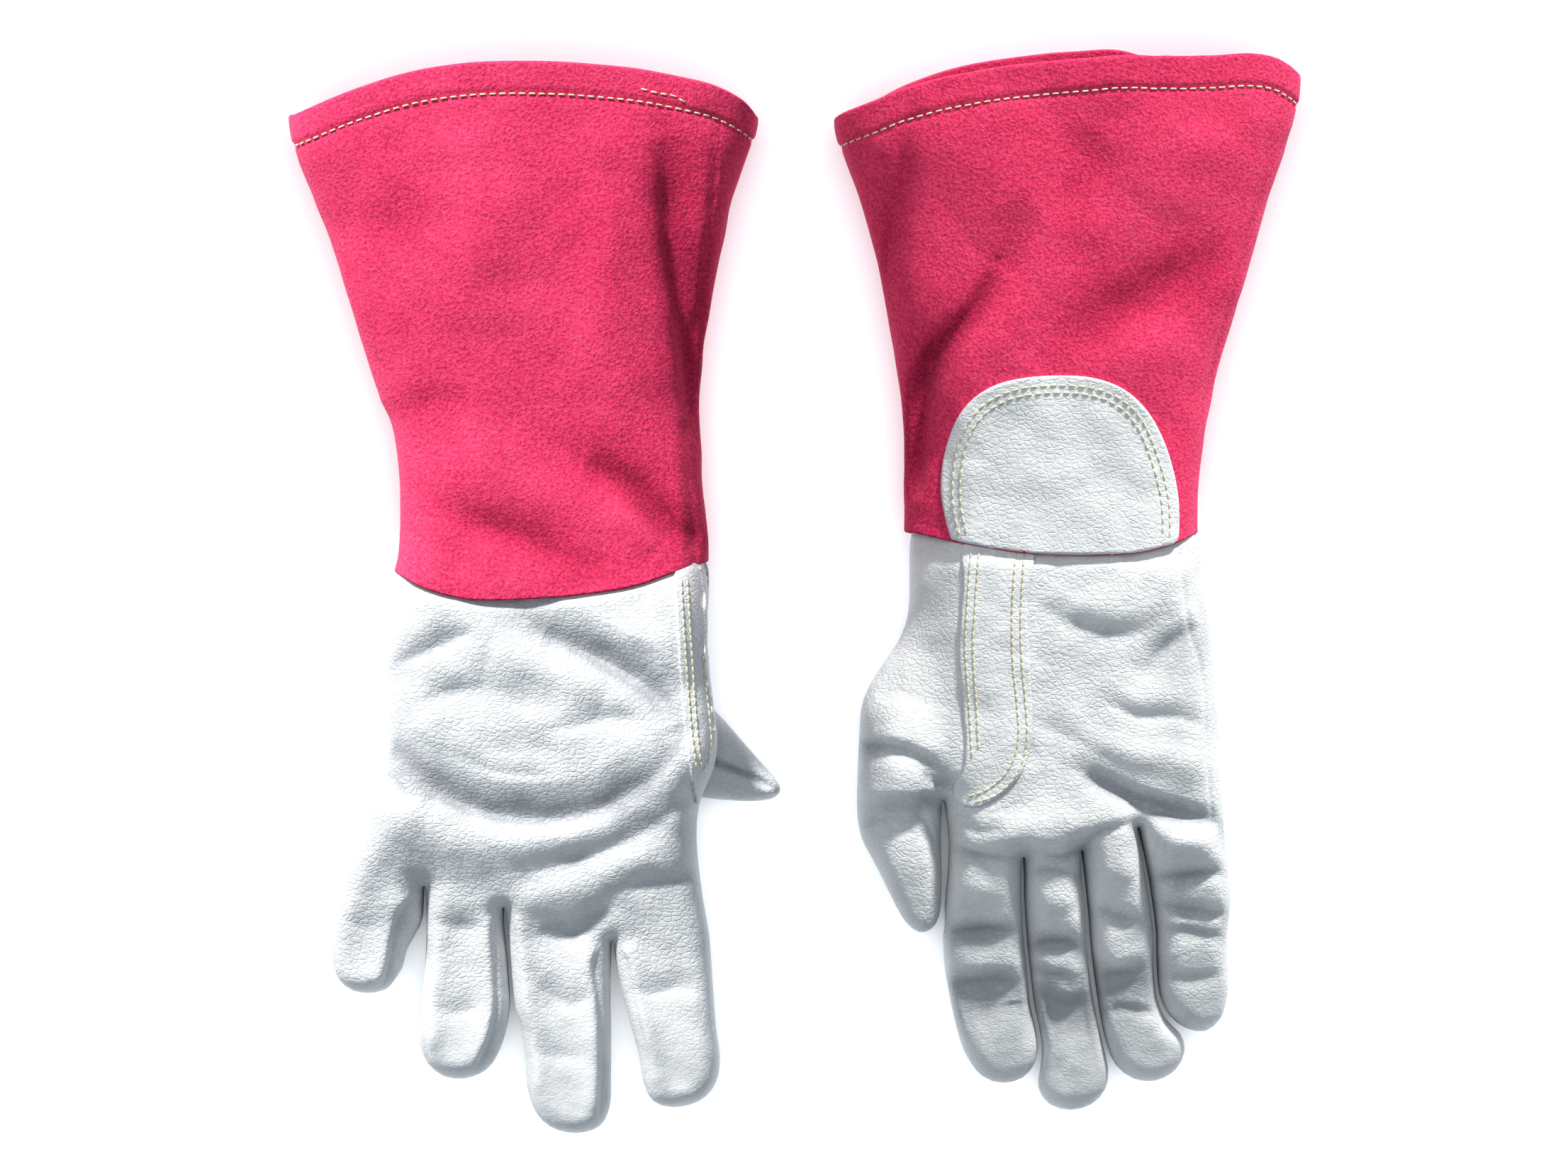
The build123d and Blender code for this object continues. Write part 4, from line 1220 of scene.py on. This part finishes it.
def make_hand(glove, shape, digits, digit_names, palm_up, smooth_from):
    """One leather net, cut into its pieces; gives a tree to lay other things on. The grain fades
    towards the fingertips, around y = smooth_from."""
    verts, faces = surface_net(shape)
    verts = relax(shape, verts, faces)
    pieces = leather_pieces(glove, shape, (verts, faces), digits, digit_names, palm_up, smooth_from)
    for label, obj in pieces:
        if not label.startswith("thumb_root"):      # the tucked thumb's root stands for no CAD node
            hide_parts(f"{glove}_{label}")
    return tree_of(verts, faces)


def make_cuff(glove, cuff, leather_tree, leather_to_y, palm_up, bend, seams, patch, patch_rows):
    """Cuff, wrist patch and all their stitching, fixed where they stand. The cuff's wrist end is lifted
    over the hand's leather where y is below leather_to_y."""
    verts, faces, outer, from_mouth = cuff_pieces(glove, cuff, leather_tree, leather_to_y, palm_up, bend)
    tree = tree_of(verts, faces)
    places = hem_places(verts, faces, outer, from_mouth, HEM_PITCH)
    for seam in seams:
        places += stitch_line(tree, seam, HEM_PITCH)
    hem = make_thread(f"{glove}_hem_thread", places)
    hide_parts(f"{glove}_hem_stitching")
    below = not palm_up
    sheet, sheet_tree = make_layer(
        f"{glove}_wrist_patch_leather", patch, tree, below,
        lambda x: np.interp(x, cuff.wrist[:, 0], cuff.wrist[:, 1]) + 2.0,
    )
    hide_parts(f"{glove}_wrist_patch")
    places = []
    for row in patch_rows:
        places += stitch_line(sheet_tree, row, PATCH_PITCH, below)
    thread = make_thread(f"{glove}_wrist_patch_thread", places)
    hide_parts(f"{glove}_wrist_patch_stitching")
    for obj in (hem, sheet, thread):
        blend_cuff(obj, glove, *bend)


def make_strips(glove, tree, strips):
    """The leather strips over the hand's seams, with their stitches."""
    places = []
    for label, outline, rows, from_below in strips:
        sheet, sheet_tree = make_layer(f"{glove}_{label}_leather", outline, tree, from_below)
        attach(sheet, f"{glove}_hand")
        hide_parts(f"{glove}_{label}")
        for row in rows:
            places += stitch_line(sheet_tree, row, STRIP_PITCH, from_below)
    thread = make_thread(f"{glove}_strip_thread", places)
    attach(thread, f"{glove}_hand")
    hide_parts(f"{glove}_strip_stitching")


def flat_map(value):
    """A map with the same value everywhere."""
    return lambda x, y: np.full(np.shape(x), float(value))


HEM_OVERRUN = [(-47, 162.5), (-41, 161), (-36, 160.2), (-33, 158.6)]     # stitches sewn twice
PATCH_DOWN = [
    (-112, 8), (-114, 20), (-112, 42), (-102, 60), (-84, 68), (-64, 68), (-48, 60), (-40, 44), (-38, 24),
    (-40, 8), (-60, 5), (-90, 5),
]
PATCH_ROW_DOWN = [
    (-110, 9), (-111, 24), (-109, 41), (-100, 57), (-83, 65), (-65, 65), (-50, 57), (-43, 43), (-41, 24),
    (-42, 9),
]
BACK_STRIP_DOWN = [
    (-35.6, 8), (-35.2, -10), (-34, -30), (-32.8, -45), (-31.2, -57), (-29.6, -68), (-28.6, -71.5),
    (-27, -66), (-24.4, -59), (-22.6, -50), (-23.2, -40), (-24.6, -28), (-25.4, -14), (-25.6, 8),
]
BACK_STRIP_DOWN_ROWS = [
    [(-33.8, 3), (-33, -10), (-31.6, -30), (-30.4, -45), (-28.8, -58)],
    [(-31.8, 3), (-31, -10), (-29.7, -30), (-28.6, -45), (-27.2, -58)],
    [(-26.6, -22), (-25.8, -32), (-24.6, -42), (-24, -50), (-25, -57), (-27, -60.5)],
]
PALM_STRIP_DOWN = [(-72, 6), (-72, -40), (-66, -58), (-52, -58), (-50, -38), (-50, 6)]
PALM_STRIP_DOWN_ROWS = [[(-70, 4), (-70, -40), (-65, -56)], [(-52, 4), (-52, -38), (-54, -56)]]

down_tree = make_hand(
    "palm_down",
    Leather(
        HAND_DOWN_OUTLINE, [line for _, line in DIVIDERS_DOWN],
        (down_equator, down_top, down_bottom, down_rim, down_detail),
        low=(-156, -186, -1.5), high=(-16, 25, 44),
    ),
    DIGITS_DOWN, down_names, palm_up=False, smooth_from=-140,
)
make_hand(
    "palm_down",
    Leather(
        THUMB_DOWN_OUTLINE, [],
        (flat_map(8.2), flat_map(7.6), flat_map(8.6), flat_map(8.5), thumb_down_detail),
        low=(-54, -75, -1.5), high=(2, -28, 19),
    ),
    THUMB_DOWN, thumb_only, palm_up=False, smooth_from=-100,
)
make_strips("palm_down", down_tree, [
    ("back_seam_strip", BACK_STRIP_DOWN, BACK_STRIP_DOWN_ROWS, False),
    ("palm_seam_strip", PALM_STRIP_DOWN, PALM_STRIP_DOWN_ROWS, True),
])
make_cuff(
    "palm_down", CUFF_DOWN, down_tree, leather_to_y=24, palm_up=False, bend=(12, 50),
    seams=[HEM_OVERRUN], patch=PATCH_DOWN, patch_rows=[PATCH_ROW_DOWN, shifted(PATCH_ROW_DOWN, -2.5)],
)

# ---------- right glove ----------
PATCH_UP = [
    (54.4, 17.2), (52.6, 24), (51.4, 33), (52.6, 44), (56.4, 55), (62, 62), (70, 66.6), (80, 68.8),
    (90, 69.4), (100, 68.8), (109, 66), (116, 61), (121.5, 54), (126, 44), (129, 32), (129.6, 22),
    (128.8, 15.4), (124, 13.6), (115, 11.6), (100, 10.9), (90, 11), (80, 11.6), (68, 13.2), (60, 14.6),
    (55.4, 15.8),
]
PATCH_ROW_UP = [
    (57.6, 17), (55.6, 26), (55.4, 36), (57.2, 47), (61.6, 56), (68, 61.6), (77, 65), (90, 66.2),
    (102, 65), (111, 61), (117.6, 54), (122.4, 43), (125.6, 31), (126.4, 22), (126.2, 17),
]
PALM_STRIP_UP = [
    (60.2, 16), (58.6, 0), (57.4, -20), (58.4, -35), (59.4, -50), (58.6, -60), (55.4, -66), (57, -70.5),
    (62, -72), (69, -69), (76, -63), (80.4, -54), (81.4, -42), (80.4, -22), (79.6, -5), (81, 16),
]
PALM_STRIP_UP_ROWS = [
    [(61.2, 12), (59.9, -8), (59.4, -20), (60.6, -38), (61.6, -56)],
    [(63.8, 12), (62.4, -8), (61.9, -20), (63, -38), (63.8, -54)],
    [(75.8, 12), (74.6, -8), (74.9, -24), (76.2, -38), (76.6, -50), (73.6, -59), (67, -65.6),
     (60.4, -68.4)],
    [(78.6, 12), (77.5, -8), (77.8, -24), (79.1, -38), (79.4, -50), (76.6, -60.2), (70, -67.4),
     (62, -70.4)],
]
BACK_STRIP_UP = [(52, 4), (50, -20), (42, -48), (54, -50), (62, -20), (63, 4)]
BACK_STRIP_UP_ROWS = [[(54, 2), (52, -20), (44.5, -46)], [(61, 2), (60, -20), (52.2, -47)]]

up_tree = make_hand(
    "palm_up",
    Leather(
        HAND_UP_OUTLINE, [line for _, line in DIVIDERS_UP],
        (up_equator, up_top, up_bottom, up_rim, up_detail),
        low=(18, -180, -1.5), high=(154, 38, 46),
    ),
    DIGITS_UP, up_names, palm_up=True, smooth_from=-130,
)
make_strips("palm_up", up_tree, [
    ("palm_seam_strip", PALM_STRIP_UP, PALM_STRIP_UP_ROWS, False),
    ("back_seam_strip", BACK_STRIP_UP, BACK_STRIP_UP_ROWS, True),
])
make_cuff(
    "palm_up", CUFF_UP, up_tree, leather_to_y=34, palm_up=True, bend=(20, 60),
    seams=[], patch=PATCH_UP, patch_rows=[PATCH_ROW_UP, shifted(PATCH_ROW_UP, -2.4)],
)


# ---------- floor, light, camera ----------
def make_floor():
    material, _, shader = new_material("pale_floor")
    shader.inputs["Base Color"].default_value = (0.93, 0.93, 0.935, 1)
    shader.inputs["Roughness"].default_value = 0.8
    shader.inputs["Emission Color"].default_value = (1, 1, 1, 1)
    shader.inputs["Emission Strength"].default_value = 0.04
    bpy.ops.mesh.primitive_plane_add(size=8)
    floor = bpy.context.object
    floor.name = "floor"
    floor.data.materials.append(material)


def soft_light(name, place, target, size, power, colour, only=None):
    """An area light; with only, it shines on the pieces whose names start with that."""
    data = bpy.data.lights.new(name, "AREA")
    data.size, data.energy, data.color = size, power, colour
    light = bpy.data.objects.new(name, data)
    light.location = place
    light.rotation_euler = (Vector(target) - Vector(place)).to_track_quat("-Z", "Y").to_euler()
    bpy.context.scene.collection.objects.link(light)
    if only:
        lit = bpy.data.collections.new(name + "_receivers")
        for obj in bpy.data.objects:
            if obj.type == "MESH" and obj.name.startswith(only):
                lit.objects.link(obj)
        light.light_linking.receiver_collection = lit


# Each glove has a low key light of its own from behind the cuffs, on its outer side.
make_floor()
SUNNY, WARM, CLEAR = (1, 0.985, 0.955), (1, 0.975, 0.92), (0.95, 0.975, 1)
soft_light("left_key", (-0.96, 1.69, 1.04), (-0.08, -0.03, 0.02), 0.2, 104, SUNNY, "palm_down")
soft_light("right_key", (0.80, 1.84, 0.78), (0.09, -0.03, 0.02), 0.2, 84, WARM, "palm_up")
soft_light("right_fill", (-0.55, 0.5, 0.95), (0.09, 0, 0.02), 0.6, 3.0, WARM, "palm_up")
soft_light("overhead", (0, 0.2, 2.2), (0, 0, 0), 2.0, 4.0, CLEAR)
soft_light("floor_light", (0, 0, 2.4), (0, 0, 0), 3.0, 92.0, CLEAR, "floor")
world = bpy.data.worlds.new("studio")
world.use_nodes = True
world.node_tree.nodes["Background"].inputs["Color"].default_value = (0.80, 0.91, 1.0, 1)
world.node_tree.nodes["Background"].inputs["Strength"].default_value = 0.36
bpy.context.scene.world = world
bpy.context.scene.view_settings.view_transform = "Standard"

CAMERA_HEIGHT = 1.615
PLANE_HEIGHT = 0.015      # height at which FRAME_WIDTH is measured
camera_data = bpy.data.cameras.new("camera")
camera_data.sensor_width = 36
camera_data.lens = 36 * (CAMERA_HEIGHT - PLANE_HEIGHT) * 1000 / FRAME_WIDTH
camera = bpy.data.objects.new("camera", camera_data)
camera.location = (*to_row((0, 0, 0))[:2], CAMERA_HEIGHT)
bpy.context.scene.collection.objects.link(camera)
bpy.context.scene.camera = camera
